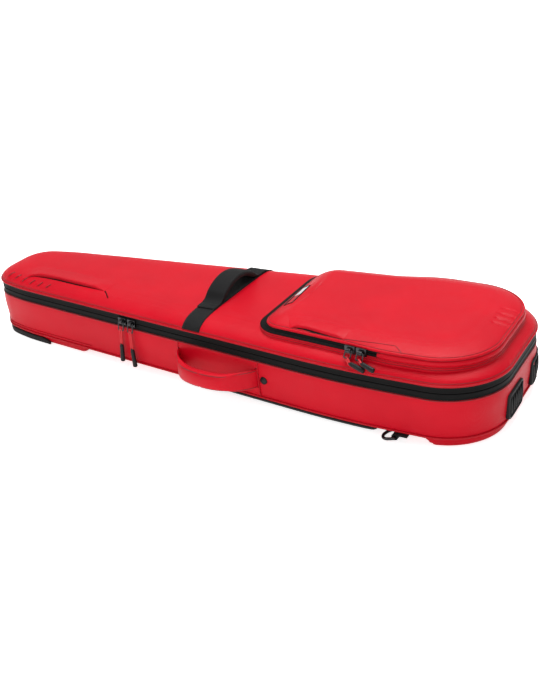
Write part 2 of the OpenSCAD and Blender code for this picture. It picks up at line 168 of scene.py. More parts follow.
def crossThreads(tree, pitch):
    # sines along the three axes multiplied in pairs, so every face shows crossing threads
    sines, parts = sineWaves(tree, [2 * math.pi / pitch] * 3)
    joined = addNode(tree, "ShaderNodeCombineXYZ")
    for source, sink in (("Y", "X"), ("Z", "Y"), ("X", "Z")):
        tree.links.new(parts[source], joined.inputs[sink])
    total = addNode(tree, "ShaderNodeVectorMath", operation="DOT_PRODUCT")
    tree.links.new(sines, total.inputs[0])
    tree.links.new(joined.outputs[0], total.inputs[1])
    return total.outputs["Value"]


def addBump(tree, shader, height, distance, strength=1.0, before=None):
    bump = addNode(tree, "ShaderNodeBump")
    bump.inputs["Distance"].default_value = distance
    bump.inputs["Strength"].default_value = strength
    tree.links.new(height, bump.inputs["Height"])
    if before is not None:
        tree.links.new(before, bump.inputs["Normal"])
    tree.links.new(bump.outputs["Normal"], shader.inputs["Normal"])
    return bump.outputs["Normal"]


def noiseValue(tree, scale, detail=3.0, roughness=0.5):
    texture = addNode(tree, "ShaderNodeTexNoise")
    texture.inputs["Scale"].default_value = scale
    texture.inputs["Detail"].default_value = detail
    texture.inputs["Roughness"].default_value = roughness
    tree.links.new(objectPoints(tree, (1, 1, 1)), texture.inputs["Vector"])
    return texture.outputs["Fac"]


def shaded(colour, share):
    return tuple(min(1, c * share) for c in colour)


def tintBy(tree, shader, value, colour, low, high):
    # the colour runs between two shares of itself with the value
    ramp = addNode(tree, "ShaderNodeValToRGB")
    for stop, position, share in zip(ramp.color_ramp.elements, (0.3, 0.7), (low, high)):
        stop.position, stop.color = position, (*shaded(colour, share), 1)
    tree.links.new(value, ramp.inputs["Fac"])
    tree.links.new(ramp.outputs["Color"], shader.inputs["Base Color"])


def wovenMaterial(name, colour, pitch, depth, roughness, specular=0.4, sheen=0.1, spread=0.06, grain=900):
    material, tree, shader = newMaterial(name, colour, roughness, specular=specular, sheen=sheen)
    shader.inputs["Sheen Roughness"].default_value = 0.4
    tintBy(tree, shader, noiseValue(tree, 14), colour, 1 - spread, 1 + spread)
    soft = addBump(tree, shader, noiseValue(tree, grain, 2), depth * 0.6, 0.5)
    addBump(tree, shader, crossThreads(tree, pitch), depth, 0.5, soft)
    return material


def smoothMaterial(name, colour, roughness, metallic=0.0, specular=0.5, grain=2500, depth=0.00003):
    material, tree, shader = newMaterial(name, colour, roughness, metallic, specular)
    tintBy(tree, shader, noiseValue(tree, 60), colour, 0.9, 1.1)
    addBump(tree, shader, noiseValue(tree, grain, 2), depth, 0.6)
    return material


def webbingMaterial(name, colour, ribAxis, pitch=0.0021, depth=0.00025):
    # raised ribs run along one axis and fine picks cross them
    material, tree, shader = newMaterial(name, colour, 0.62, specular=0.15, sheen=0.02)
    scale = [1, 1, 1]
    scale[ribAxis] = 2 * math.pi / pitch
    scale[1 - ribAxis] = 2 * math.pi / (pitch * 0.45)
    parts = sineWaves(tree, scale)[1]
    product = addNode(tree, "ShaderNodeMath", operation="MULTIPLY")
    tree.links.new(parts["X"], product.inputs[0])
    tree.links.new(parts["Y"], product.inputs[1])
    tintBy(tree, shader, noiseValue(tree, 300), colour, 0.8, 1.25)
    addBump(tree, shader, product.outputs[0], depth, 0.7)
    return material


def meshMaterial(name, colour, cell):
    # open spacer mesh: dark round holes in a knitted face
    material, tree, shader = newMaterial(name, colour, 0.75, specular=0.3, sheen=0.2)
    cells = addNode(tree, "ShaderNodeTexVoronoi")
    cells.inputs["Scale"].default_value = 1 / cell
    cells.inputs["Randomness"].default_value = 0.12
    tree.links.new(objectPoints(tree, (1, 1, 1)), cells.inputs["Vector"])
    tintBy(tree, shader, cells.outputs["Distance"], colour, 0.25, 1.5)
    addBump(tree, shader, cells.outputs["Distance"], 0.0006, 0.8)
    return material


def plushMaterial(name, colour):
    material, tree, shader = newMaterial(name, colour, 0.95, specular=0.1, sheen=0.6)
    shader.inputs["Sheen Roughness"].default_value = 0.5
    tintBy(tree, shader, noiseValue(tree, 45, 4), colour, 0.75, 1.3)
    addBump(tree, shader, noiseValue(tree, 1100, 3, 0.7), 0.0006, 0.8)
    return material


colours = {"red": (0.52, 0.0015, 0.012), "pipingRed": (0.45, 0.0015, 0.010), "black": (0.006, 0.006, 0.0065),
           "tape": (0.005, 0.005, 0.005), "plush": (0.028, 0.029, 0.034), "lining": (0.05, 0.052, 0.058),
           "rubber": (0.010, 0.010, 0.0105), "gunmetal": (0.06, 0.06, 0.063), "cord": (0.6, 0.012, 0.02),
           "silver": (0.75, 0.75, 0.76), "thread": (0.02, 0.02, 0.021)}
redFabric = wovenMaterial("redFabric", colours["red"], 0.0009, 0.00006, 0.36, specular=0.13, sheen=0.0)
redPiping = wovenMaterial("redPiping", colours["pipingRed"], 0.0007, 0.00004, 0.38, specular=0.18, sheen=0.0)
# darker copy of the piping red for thin lines along seams and creases: painted crease shade
redCreaseShade = wovenMaterial("redCreaseShade", shaded(colours["pipingRed"], 0.45), 0.0007, 0.00004, 0.5)
zipTape = smoothMaterial("zipTape", colours["tape"], 0.55, specular=0.08, grain=1800, depth=0.00005)
webbingAcross = webbingMaterial("webbingAcross", colours["black"], 0)
webbingAlong = webbingMaterial("webbingAlong", colours["black"], 1)
padFabric = wovenMaterial("padFabric", colours["black"], 0.0011, 0.0001, 0.7, specular=0.15, sheen=0.03)
airMesh = meshMaterial("airMesh", shaded(colours["black"], 1.3), 0.0032)
plush = plushMaterial("plush", colours["plush"])
liningFabric = wovenMaterial("liningFabric", colours["lining"], 0.0008, 0.00006, 0.6, sheen=0.2)
rubber = smoothMaterial("rubber", colours["rubber"], 0.5, specular=0.2)
plastic = smoothMaterial("plastic", colours["black"], 0.4, specular=0.25)
gunmetal = smoothMaterial("gunmetal", colours["gunmetal"], 0.28, metallic=1.0, grain=4000, depth=0.00001)
redCord = wovenMaterial("redCord", colours["cord"], 0.0011, 0.0002, 0.6)
silver = smoothMaterial("silver", colours["silver"], 0.3, metallic=0.6, grain=5000, depth=0.00001)
thread = wovenMaterial("thread", colours["thread"], 0.0006, 0.00005, 0.6)
# near-black for the openings of the slits and the handle's slots: painted shade, with the black of the hidden
# zips in the two lip slits
darkGap = smoothMaterial("darkGap", (0.004, 0.004, 0.004), 0.9, specular=0.1)
addStudio()
print("materials and studio made")


def unitRows(v):
    return v / np.linalg.norm(v, axis=-1, keepdims=True)


def makeObject(name, verts, faces, materials, faceMaterials=None, sharp=38, merge=0.01):
    mesh = bpy.data.meshes.new(name)
    mesh.from_pydata([tuple(v) for v in np.asarray(verts, float) * mm], [], faces)
    for material in materials:
        mesh.materials.append(material)
    if faceMaterials is not None:
        mesh.polygons.foreach_set("material_index", faceMaterials)
    work = bmesh.new()
    work.from_mesh(mesh)
    bmesh.ops.remove_doubles(work, verts=work.verts, dist=merge * mm)
    bmesh.ops.dissolve_degenerate(work, edges=work.edges, dist=merge * mm * 0.1)
    bmesh.ops.recalc_face_normals(work, faces=work.faces)
    work.to_mesh(mesh)
    work.free()
    mesh.polygons.foreach_set("use_smooth", [True] * len(mesh.polygons))
    mesh.set_sharp_from_angle(angle=math.radians(sharp))
    thing = bpy.data.objects.new(name, mesh)
    scene.collection.objects.link(thing)
    return thing


def skin(name, rows, materials, around=True, through=False, caps=False, rowMaterials=None, **finish):
    # faces between neighbouring rows; around closes each row, through joins the last row to the first
    rows = np.asarray(rows, float)
    count, width = rows.shape[:2]
    verts = [tuple(p) for p in rows.reshape(-1, 3)]
    faces, kinds = [], []
    for i in range(count if through else count - 1):
        a, b = i * width, (i + 1) % count * width
        for k in range(width if around else width - 1):
            faces.append((a + k, a + (k + 1) % width, b + (k + 1) % width, b + k))
            kinds.append(rowMaterials[i] if rowMaterials else 0)
    if caps:
        for i in (0, count - 1):
            verts.append(tuple(rows[i].mean(0)))
            for k in range(width):
                faces.append((i * width + k, i * width + (k + 1) % width, len(verts) - 1))
                kinds.append(rowMaterials[min(i, count - 2)] if rowMaterials else 0)
    if not isinstance(materials, (list, tuple)):
        materials = [materials]
    return makeObject(name, verts, faces, materials, kinds, **finish)


def smoothCurve(points, count):
    # Catmull-Rom curve through the points, resampled to even spacing
    points = np.asarray(points, float)
    ends = np.vstack([2 * points[0] - points[1], points, 2 * points[-1] - points[-2]])
    dense = []
    for i in range(1, len(ends) - 2):
        a, b, c, d = ends[i - 1:i + 3]
        for t in np.linspace(0, 1, 24, endpoint=False):
            dense.append(0.5 * (2 * b + (c - a) * t + (2 * a - 5 * b + 4 * c - d) * t ** 2
                                + (3 * b - a - 3 * c + d) * t ** 3))
    dense.append(points[-1])
    return evenly(np.array(dense), count)


def looped(path):
    return np.vstack([path, path[:1]])


def evenly(points, count, closed=False):
    points = np.asarray(points, float)
    if closed:
        points = looped(points)
    steps = np.r_[0, np.cumsum(np.linalg.norm(np.diff(points, axis=0), axis=1))]
    at = np.linspace(0, steps[-1], count, endpoint=not closed)
    return np.column_stack([np.interp(at, steps, points[:, k]) for k in range(points.shape[1])])


def pathFrames(path, up, closed):
    if closed:
        ahead = np.roll(path, -1, 0) - np.roll(path, 1, 0)
    else:
        ahead = np.gradient(path, axis=0)
    ahead = unitRows(ahead)
    side = unitRows(np.cross(ahead, np.asarray(up, float)))
    return side, np.cross(side, ahead)


def sweep(name, path, section, materials, up=(0, 0, 1), closed=False, **finish):
    # section(i, share) or a fixed list gives [side, up] points round the path
    path = np.asarray(path, float)
    side, above = pathFrames(path, up, closed)
    rows = []
    for i, place in enumerate(path):
        shape = np.asarray(section(i, i / (len(path) - 1)) if callable(section) else section)
        rows.append(place + shape[:, :1] * side[i] + shape[:, 1:] * above[i])
    return skin(name, rows, materials, through=closed, caps=not closed, **finish)


def roundTurns(count):
    return np.linspace(0, 2 * math.pi, count, endpoint=False)


def circle(radius, sides=8):
    turns = roundTurns(sides)
    return np.column_stack([radius * np.cos(turns), radius * np.sin(turns)])


def roundedBox(halfWide, halfHigh, power=4.0, sides=24):
    turns = roundTurns(sides)
    c, s = np.cos(turns), np.sin(turns)
    return np.column_stack([halfWide * np.sign(c) * abs(c) ** (2 / power),
                            halfHigh * np.sign(s) * abs(s) ** (2 / power)])


def tube(name, path, radius, material, closed=False, sides=8, up=(0, 0, 1)):
    def section(i, share):
        ends = 1 if closed else min(1, math.sqrt(max(0.0, 4 * min(share, 1 - share) * len(path) / 8)))
        return circle(radius * max(ends, 0.15), sides)
    return sweep(name, path, section, material, up, closed, sharp=60)


def ripple(x, y, seed, low=55, high=150):
    # gentle unevenness of padded cloth, from a few seeded waves
    random = np.random.RandomState(seed)
    total = 0
    for _ in range(6):
        turn, length, phase = random.uniform(0, math.pi), random.uniform(low, high), random.uniform(0, 6.28)
        total = total + np.sin((x * math.cos(turn) + y * math.sin(turn)) * 2 * math.pi / length + phase)
    return total / 6


def smoothStep(value, low, high):
    t = np.clip((value - low) / (high - low), 0, 1)
    return t * t * (3 - 2 * t)


def join(name, things):
    # one mesh from several, keeping each one's materials
    bpy.ops.object.select_all(action="DESELECT")
    for thing in things:
        thing.select_set(True)
    bpy.context.view_layer.objects.active = things[0]
    bpy.ops.object.join()
    things[0].name = name
    return things[0]


def settle(thing, body, slot, *nodes):
    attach(thing, body)
    if nodes:
        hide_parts(*nodes)
    return thing


def repeatTree():
    # small rounded pieces set at even steps along a path
    tree = bpy.data.node_groups.new("repeatAlong", "GeometryNodeTree")
    for name, kind in (("Geometry", "Geometry"), ("Pitch", "Float"), ("Size", "Vector"), ("Rounds", "Int"),
                       ("Finish", "Material")):
        tree.interface.new_socket(name, in_out="INPUT", socket_type="NodeSocket" + kind)
    tree.interface.new_socket("Geometry", in_out="OUTPUT", socket_type="NodeSocketGeometry")
    nodes = {"start": tree.nodes.new("NodeGroupInput"), "end": tree.nodes.new("NodeGroupOutput")}
    for kind in ("MeshToCurve", "CurveToPoints", "MeshCube", "SubdivisionSurface", "InstanceOnPoints",
                 "RealizeInstances", "SetShadeSmooth", "SetMaterial"):
        nodes[kind] = tree.nodes.new("GeometryNode" + kind)
    nodes["CurveToPoints"].mode = "LENGTH"
    for link in ("start.Geometry MeshToCurve.Mesh", "MeshToCurve.Curve CurveToPoints.Curve",
                 "start.Pitch CurveToPoints.Length", "start.Size MeshCube.Size",
                 "MeshCube.Mesh SubdivisionSurface.Mesh", "start.Rounds SubdivisionSurface.Level",
                 "CurveToPoints.Points InstanceOnPoints.Points",
                 "SubdivisionSurface.Mesh InstanceOnPoints.Instance",
                 "CurveToPoints.Rotation InstanceOnPoints.Rotation",
                 "InstanceOnPoints.Instances RealizeInstances.Geometry",
                 "RealizeInstances.Geometry SetShadeSmooth.Geometry",
                 "SetShadeSmooth.Geometry SetMaterial.Geometry",
                 "start.Finish SetMaterial.Material", "SetMaterial.Geometry end.Geometry"):
        (source, output), (sink, socket) = (side.split(".") for side in link.split())
        tree.links.new(nodes[source].outputs[output], nodes[sink].inputs[socket])
    return tree


repeatAlong = repeatTree()


def setAlong(name, paths, pitch, size, material, rounds=1):
    # size is across, upright and along, in millimetres
    verts, edges = [], []
    for path in paths:
        first = len(verts)
        verts += [tuple(np.asarray(p) * mm) for p in path]
        edges += [(first + k, first + k + 1) for k in range(len(path) - 1)]
    mesh = bpy.data.meshes.new(name)
    mesh.from_pydata(verts, edges, [])
    thing = bpy.data.objects.new(name, mesh)
    scene.collection.objects.link(thing)
    modifier = thing.modifiers.new("repeat", "NODES")
    modifier.node_group = repeatAlong
    names = {s.name: s.identifier for s in repeatAlong.interface.items_tree if s.in_out == "INPUT"}
    modifier[names["Pitch"]] = pitch * mm
    modifier[names["Size"]] = [v * mm for v in size]
    modifier[names["Rounds"]] = rounds
    modifier[names["Finish"]] = material
    seen = thing.evaluated_get(bpy.context.evaluated_depsgraph_get())
    made = bpy.data.meshes.new_from_object(seen)
    thing.modifiers.clear()
    thing.data = made
    return thing


def stitches(name, paths, material=None, pitch=3.2, long=2.2, thick=0.55):
    return setAlong(name, paths, pitch, (thick, thick * 0.8, long), material or thread)


levels = {"padTop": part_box("back_pad")[1].z / mm, "bandLow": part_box("lower_zip_tape")[0].z / mm,
          "parting": (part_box("lower_zip_tape")[1].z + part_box("upper_zip_tape")[0].z) / 2 / mm,
          "bandTop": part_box("upper_zip_tape")[1].z / mm, "crown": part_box("lid_shell")[1].z / mm,
          "pocketBand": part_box("pocket_lower_tape")[0].z / mm, "pocketPart": 107.6,
          "pocketRim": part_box("pocket_flap")[0].z / mm, "pocketTop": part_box("pocket_flap")[1].z / mm}
caseSize = {"length": 820, "narrow": 107, "shoulder": 143, "shoulderAt": 70, "wide": 263, "wideAt": 625,
            "end": 260, "radii": (51, 300, 1200, 84)}
pocketSize = {"narrowEdge": 77, "corners": (102, 118.5, 115), "bendAt": 275, "endAt": 395,
              "radii": (42, 150, 78), "middle": 240}


def traceOutline(nearCorners, nearRadii, count):
    # evenly spaced points and outward normals round a polygon whose corners are arcs
    corners = list(nearCorners) + [(x, -y) for x, y in reversed(nearCorners)]
    radii = list(nearRadii) + list(reversed(nearRadii))
    corners = [np.array(c, float) for c in corners]
    places, normals = [], []
    for i, here in enumerate(corners):
        u = unitRows(here - corners[i - 1])
        v = unitRows(corners[(i + 1) % len(corners)] - here)
        inU, inV = np.array([-u[1], u[0]]), np.array([-v[1], v[0]])
        centre = here + radii[i] * (inU + inV) / (1 + inU @ inV)
        bend = math.atan2(u[0] * v[1] - u[1] * v[0], u @ v)
        first = math.atan2(-inU[1], -inU[0])
        for a in np.linspace(first, first + bend, max(3, int(bend / 0.012))):
            out = np.array([math.cos(a), math.sin(a)])
            places.append(centre + radii[i] * out)
            normals.append(out)
    places, normals = np.array(places + places[:1]), np.array(normals + normals[:1])
    steps = np.r_[0, np.cumsum(np.linalg.norm(np.diff(places, axis=0), axis=1))]
    at = np.linspace(0, steps[-1], count, endpoint=False)
    spread = [np.interp(at, steps, table) for table in (*places.T, *normals.T)]
    return {"points": np.column_stack(spread[:2]), "normals": unitRows(np.column_stack(spread[2:])),
            "along": at}


def caseOutline(count):
    half = caseSize["length"] / 2
    corners = [(-half, -caseSize["narrow"] / 2), (-half + caseSize["shoulderAt"], -caseSize["shoulder"] / 2),
               (-half + caseSize["wideAt"], -caseSize["wide"] / 2), (half, -caseSize["end"] / 2)]
    return traceOutline(corners, caseSize["radii"], count)


def pocketOutline(count):
    stations = [pocketSize[key] for key in ("narrowEdge", "bendAt", "endAt")]
    corners = [(x, -y) for x, y in zip(stations, pocketSize["corners"])]
    return traceOutline(corners, pocketSize["radii"], count)


def ring(line, inset, z):
    flat = line["points"] - np.reshape(inset, (-1, 1)) * line["normals"]
    return np.column_stack([flat, np.broadcast_to(z, len(flat))])


def rings(line, profile):
    return [ring(line, inset, z) for inset, z in profile]


def capRows(line, inset, z, spine, steps, edge=None):
    # rows that close a ring onto its middle line, with each point's distance in from the outline
    edge = ring(line, inset, z) if edge is None else edge
    middle = np.column_stack([np.clip(edge[:, 0], *spine), np.zeros(len(edge)), edge[:, 2]])
    reach = np.linalg.norm((middle - edge)[:, :2], axis=1)
    shares = np.linspace(0, 1, steps + 1)[1:]
    return [edge + (middle - edge) * t for t in shares], [inset + reach * t for t in shares]


def domeRows(line, profile, spine, steps, place=None):
    # rows over a profile of inset and height and on to the middle line, with each row's distances in
    placed = [place(*point) for point in profile] if place else rings(line, profile)
    capped, deep = capRows(line, *profile[-1], spine, steps, placed[-1])
    return placed + capped, [np.full(len(placed[0]), inset) for inset, _ in profile] + deep


flankSlope = (caseSize["wide"] - caseSize["shoulder"]) / 2 / (caseSize["wideAt"] - caseSize["shoulderAt"])
flankTurn = math.atan(flankSlope)
flankMiddle = caseSize["shoulder"] / 2 + (caseSize["length"] / 2 - caseSize["shoulderAt"]) * flankSlope
pocketTurn = math.atan((pocketSize["corners"][1] - pocketSize["corners"][0])
                       / (pocketSize["bendAt"] - pocketSize["narrowEdge"]))


def onSlope(points, turn, middle, far=False):
    # from along, outwards and up on a straight flank to the case's own frame
    points = np.asarray(points, float)
    s, out, z = points[..., 0], points[..., 1], points[..., 2]
    c, n = math.cos(turn), math.sin(turn)
    y = -middle[1] - s * n - out * c
    return np.stack([middle[0] + s * c - out * n, -y if far else y, z], -1)


def onFlank(points, far=False):
    return onSlope(points, flankTurn, (0, flankMiddle), far)


def onPocketFlank(points):
    middleX = pocketSize["middle"]
    middleY = pocketSize["corners"][0] + (middleX - pocketSize["narrowEdge"]) * math.tan(pocketTurn)
    return onSlope(points, pocketTurn, (middleX, middleY))


fine, medium = caseOutline(760), caseOutline(400)
pocketLine = pocketOutline(520)
caseSpine, pocketSpine = (-352, 296), (120, 300)


lid = {"profile": [(0.2, 85), (0.3, 86.8), (1.7, 89.6), (4.6, 92.5), (9, 95.1), (14, 97.2), (18, 98.5),
                   (21, 99.2), (30, 100.3), (40, 100.9)],
       "inner": [(8, 85.2), (9, 88), (13, 91.6), (22, 95.1), (31, 96.7), (40, 97.4)],
       "crown": 0.6, "capRows": 18, "ripple": 0.35,
       "ribStart": 62, "ribPitch": 15.5, "ribs": 7, "ribHeight": 1.5}
lidProfile = smoothCurve(lid["profile"], 36)


def crownLift(inset):
    return lid["crown"] * (1 - np.exp(-np.maximum(inset - 38, 0) / 34))


def lidShape(rows, insets, along):
    shaped = []
    for row, inset in zip(rows, insets):
        row = row.copy()
        x, y = row[:, 0], row[:, 1]
        away = smoothStep(inset, 1, 20)
        row[:, 2] += crownLift(inset) + lid["ripple"] * ripple(x, y, 5) * away
        for i in range(lid["ribs"]):
            middle = lid["ribStart"] + i * lid["ribPitch"]
            height = lid["ribHeight"] * (1 - 0.09 * i)
            lean = (inset - 6) * 0.5
            band = np.exp(-((along - middle - lean) / (3.6 - 0.25 * i)) ** 2)
            row[:, 2] += height * band * smoothStep(inset, 1.5, 4.5) * (1 - smoothStep(inset, 13 - i, 17 - i))
        shaped.append(row)
    return shaped


def buildLid():
    rows, insets = domeRows(fine, lidProfile, caseSpine, lid["capRows"])
    outer = lidShape(rows, insets, fine["along"])
    under = domeRows(fine, lid["inner"], caseSpine, 3)[0]
    return settle(skin("lidShell", outer[::-1] + under, redFabric), "lid", "red_fabric", "lid_shell")


def caseHalfWidth(x):
    near = fine["points"][fine["points"][:, 1] < 0]
    near = near[np.argsort(near[:, 0])]
    return np.interp(x, near[:, 0], -near[:, 1])


def lidHeight(x, y):
    # top of the lid at a place on its flanks or its middle
    inset = (caseHalfWidth(x) - np.abs(y)) * math.cos(flankTurn)
    z = np.interp(inset, lidProfile[:, 0], lidProfile[:, 1])
    return z + crownLift(inset) + lid["ripple"] * ripple(x, y, 5) * smoothStep(inset, 1, 20)


lining = {"profile": [(10.5, 85.1), (11.5, 87.2), (15.5, 90.2), (24, 92.6), (32, 93.9), (40, 94.5)],
          "back": [(8.2, 85.1), (9.2, 87.8), (13.3, 91.3), (22.3, 94.8), (31.2, 96.4), (40.2, 97.1)],
          "quilt": 0.9, "channel": 46}


def buildLidLining():
    # padded plush inside the lid, with sewn channels across it
    rows, insets = domeRows(medium, smoothCurve(lining["profile"], 14), caseSpine, 16)
    for row, inset in zip(rows, insets):
        seam = np.abs(np.sin(row[:, 0] * math.pi / lining["channel"]))
        row[:, 2] += lining["quilt"] * (1 - seam ** 0.5) * smoothStep(inset, 14, 34)
        row[:, 2] -= 0.5 * seam * smoothStep(inset, 20, 60)
    back = domeRows(medium, lining["back"], caseSpine, 3)[0]
    settle(skin("lidLining", back[::-1] + rows, plush), "lid", "plush_lining", "lid_lining")


# the tape's section, from its sewn edge and then from its lip: inset and height towards the lip
zipBand = {"sewn": [(7, 0), (0.7, 0), (0.35, 0.5), (0.35, 1.6), (0.75, 2), (0.8, 3), (0.7, 6)],
           "lip": [(0.35, -1.2), (0.55, -0.4), (1.2, 0), (7, 0)], "gap": 0.22,
           "coilPitch": 2.6, "coil": (2.0, 1.5, 1.3)}


def buildZipBands():
    for name, node, body, edge, turn in (("lowerZipTape", "lower_zip_tape", "base", "bandLow", 1),
                                         ("upperZipTape", "upper_zip_tape", "lid", "bandTop", -1)):
        foot, lip = levels[edge], levels["parting"] - zipBand["gap"] * turn
        shape = [(inset, foot + rise * turn) for inset, rise in zipBand["sewn"]]
        shape += [(inset, lip + rise * turn) for inset, rise in zipBand["lip"]]
        settle(skin(name, rings(fine, shape), zipTape, through=True, sharp=50), body, "zip_tape", node)
        path = looped(ring(fine, 7.6, lip - 0.9 * turn))
        coil = setAlong(name + "Coil", [path], zipBand["coilPitch"], zipBand["coil"], plastic)
        settle(coil, body, "black_plastic")
        line = looped(ring(fine, 0.32, foot + 1.05 * turn))
        settle(stitches(name + "Stitches", [line], pitch=3.4, thick=0.4), body, "zip_tape")


def edgePiping(name, line, inset, z, radius, body, *nodes, material=redPiping, slot="red_piping", upTo=None,
               sides=8):
    # a cord round a ring, or round the part of it below one station
    path = ring(line, inset, z)
    if upTo is not None:
        path = stretch(path, path[:, 0] < upTo)
    settle(tube(name, path, radius, material, closed=upTo is None, sides=sides), body, slot, *nodes)


def stretch(path, mask):
    # the one run of a closed path where mask holds, in order
    start = next(i for i in range(len(mask)) if mask[i] and not mask[i - 1])
    order = [(start + k) % len(mask) for k in range(int(mask.sum()))]
    return path[order]


print("lid")
lidShell = buildLid()
buildLidLining()
buildZipBands()
edgePiping("lidPiping", fine, -0.1, levels["bandTop"] + 1.0, 1.25, "lid", "lid_piping")


tray = {"wall": [(3.2, 12.9), (2.2, 14), (1.9, 16), (1.2, 24), (0.1, 38), (-0.5, 50), (-0.4, 60), (0.1, 65),
                 (0.5, 66.8)],
        "inside": [(2, 67.1), (8, 67.1), (9, 66), (9, 16.2), (40, 16)], "ripple": 0.5}


def buildTray():
    wall = smoothCurve(tray["wall"], 30)
    under, _ = capRows(fine, 40, 12.6, caseSpine, 3)
    bottom = [ring(fine, 40, 12.6), ring(fine, 6, 12.6)]
    outside = []
    for inset, z in wall:
        swell = tray["ripple"] * ripple(fine["along"], z * 2.2, 11, 60, 170)
        outside.append(ring(fine, inset - swell * smoothStep(z, 14, 30) * smoothStep(-z, -66, -50), z))
    inside = rings(fine, tray["inside"])
    floor, _ = capRows(fine, 40, 16, caseSpine, 3)
    shell = skin("trayShell", under[::-1] + bottom + outside + inside + floor, [redFabric, liningFabric],
                 rowMaterials=[0] * (len(under) + 2 + len(outside)) + [1] * 12)
    settle(shell, "base", "red_fabric", "base_shell")


print("tray")
buildTray()
edgePiping("trayPiping", fine, 1.4, levels["padTop"] + 1.4, 1.5, "base", "base_piping")
edgePiping("trayPipingNarrow", fine, 1.3, levels["padTop"] + 6.5, 0.9, "base", upTo=-205)
# dark line just under the zip band: painted shade where the band meets the wall
edgePiping("trayTopSeam", fine, 0.15, levels["bandLow"] - 0.9, 0.7, "base", material=redCreaseShade)


def padRing(inset, low, high, z, soften=7, count=320):
    # outline between two stations, closed straight across, with its corners eased
    line = fine["points"] - inset * fine["normals"]
    along = np.clip(line[:, 0], low, high)
    near = line[line[:, 1] < 0]
    near = near[np.argsort(near[:, 0])]
    widest = np.interp(along, near[:, 0], -near[:, 1])
    line = np.column_stack([along, np.clip(line[:, 1], -widest, widest)])
    edge = evenly(line, count * 4, closed=True)
    width = max(1, int(soften * count * 4 / np.linalg.norm(np.diff(edge, axis=0), axis=1).sum()))
    kernel = np.ones(2 * width + 1) / (2 * width + 1)
    eased = np.column_stack([np.convolve(np.r_[column[-width:], column, column[:width]], kernel, "valid")
                             for column in edge.T])
    first = int(np.argmin(np.abs(np.arctan2(eased[:, 1], eased[:, 0] - (low + high) / 2) + math.pi / 2)))
    eased = evenly(np.roll(eased, -first, 0), count, closed=True)
    return np.column_stack([eased, np.full(count, z)])


def padRows(stations):
    # stations are inset, low and high stations along the case, and height
    rows = [padRing(*s) for s in stations]
    closing = []
    for end in (rows[0], rows[-1]):
        x = end[:, 0]
        middle = np.column_stack([np.clip(x, x.min() + 60, x.max() - 60), 0 * x, end[:, 2]])
        closing.append([end + (middle - end) * t for t in (0.25, 0.5, 0.75, 1)])
    return closing[0][::-1] + rows + closing[1]


# inset, low and high stations and height of each ring of a pad, from its top down
padTop = levels["padTop"]
pads = {"back": [(7, -33, 264, padTop), (5.6, -33, 265, padTop - 2), (5.2, -33, 265, 8.2),
                 (6.5, -31, 262, 4.6), (10, -25, 254, 1.9), (17, -16, 242, 0.5), (26, -6, 230, 0.05)],
        "backSeam": (5.0, -33.2, 265.2, 8.6),
        "narrow": [(7, -500, -219, padTop), (5.2, -500, -218, padTop - 1), (5.0, -500, -220.5, 8.6),
                   (5.6, -500, -224.5, 4.4), (7.2, -500, -228.5, 1.4), (10, -500, -232, 0.1)],
        "wide": [(7, 324, 500, padTop), (4.6, 324, 500, padTop - 1), (4.4, 327, 500, 8.2), (5, 331, 500, 4.2),
                 (6.4, 335, 500, 1.4), (9, 339, 500, 0.1)]}


def buildPad(name, kind, material, slot, node):
    pad = settle(skin(name, padRows(pads[kind]), material), "base", slot, node)


def buildPads():
    buildPad("backPad", "back", airMesh, "air_mesh", "back_pad")
    binding = tube("backPadBinding", padRing(*pads["backSeam"]), 0.8, padFabric, closed=True)
    settle(binding, "base", "black_webbing")
    buildPad("narrowFootPad", "narrow", redFabric, "red_fabric", "narrow_foot_pad")
    buildPad("wideFootPad", "wide", redFabric, "red_fabric", "wide_foot_pad")


bumper = {"reach": -298, "thinRows": 6,
          "shape": [(5.2, 0.1), (2.8, 0.1), (1.7, 1.2), (1.4, 3.0), (1.7, 3.5), (1.4, 4.0), (1.4, 6.4),
                    (1.9, 7.9), (2.9, 8.7), (5.4, 8.7)]}


def buildBumper():
    # moulded strip that wraps the narrow end, thinning at its two ends
    keep = ring(fine, 0, 0)[:, 0] < bumper["reach"]
    rows = np.array([stretch(ring(fine, *place), keep) for place in bumper["shape"]]).transpose(1, 0, 2)
    steps = np.arange(len(rows))
    thin = np.minimum(1, np.minimum(steps, steps[::-1]) / bumper["thinRows"])[:, None]
    rows[:, :, 2] *= 0.45 + 0.55 * thin ** 0.5
    piece = skin("narrowBumper", rows, rubber, caps=True, sharp=50)
    settle(piece, "base", "black_rubber", "narrow_bumper")


# each level of a foot is a step out from the wall and how far its edge draws in
wideFoot = {"low": 15.8, "high": 52.2, "half": 27, "places": {-1: 33, 1: 61}, "radius": 84,
            "cornerRadius": 3.4,
            "levels": [(-2, 0), (1.6, 0), (3.0, 0.5), (3.4, 1.2), (3.4, 2.2), (2.6, 3.0), (1.6, 3.2)],
            "ribs": 6, "ribProud": 4.2, "ribThick": 4.6, "ribMargin": 5.5}


def footPoint(side, along, out, z):
    # along runs over the wide end and round its corner, out stands off its wall
    flat = caseSize["end"] / 2 - wideFoot["radius"]
    reach, over = wideFoot["radius"] + out, side * wideFoot["places"][side] + along
    angle = math.copysign(max(0, abs(over) - flat) / wideFoot["radius"], over)
    centre = (caseSize["length"] / 2 - wideFoot["radius"], max(-flat, min(flat, over)))
    return (centre[0] + reach * math.cos(angle), centre[1] + reach * math.sin(angle), z)


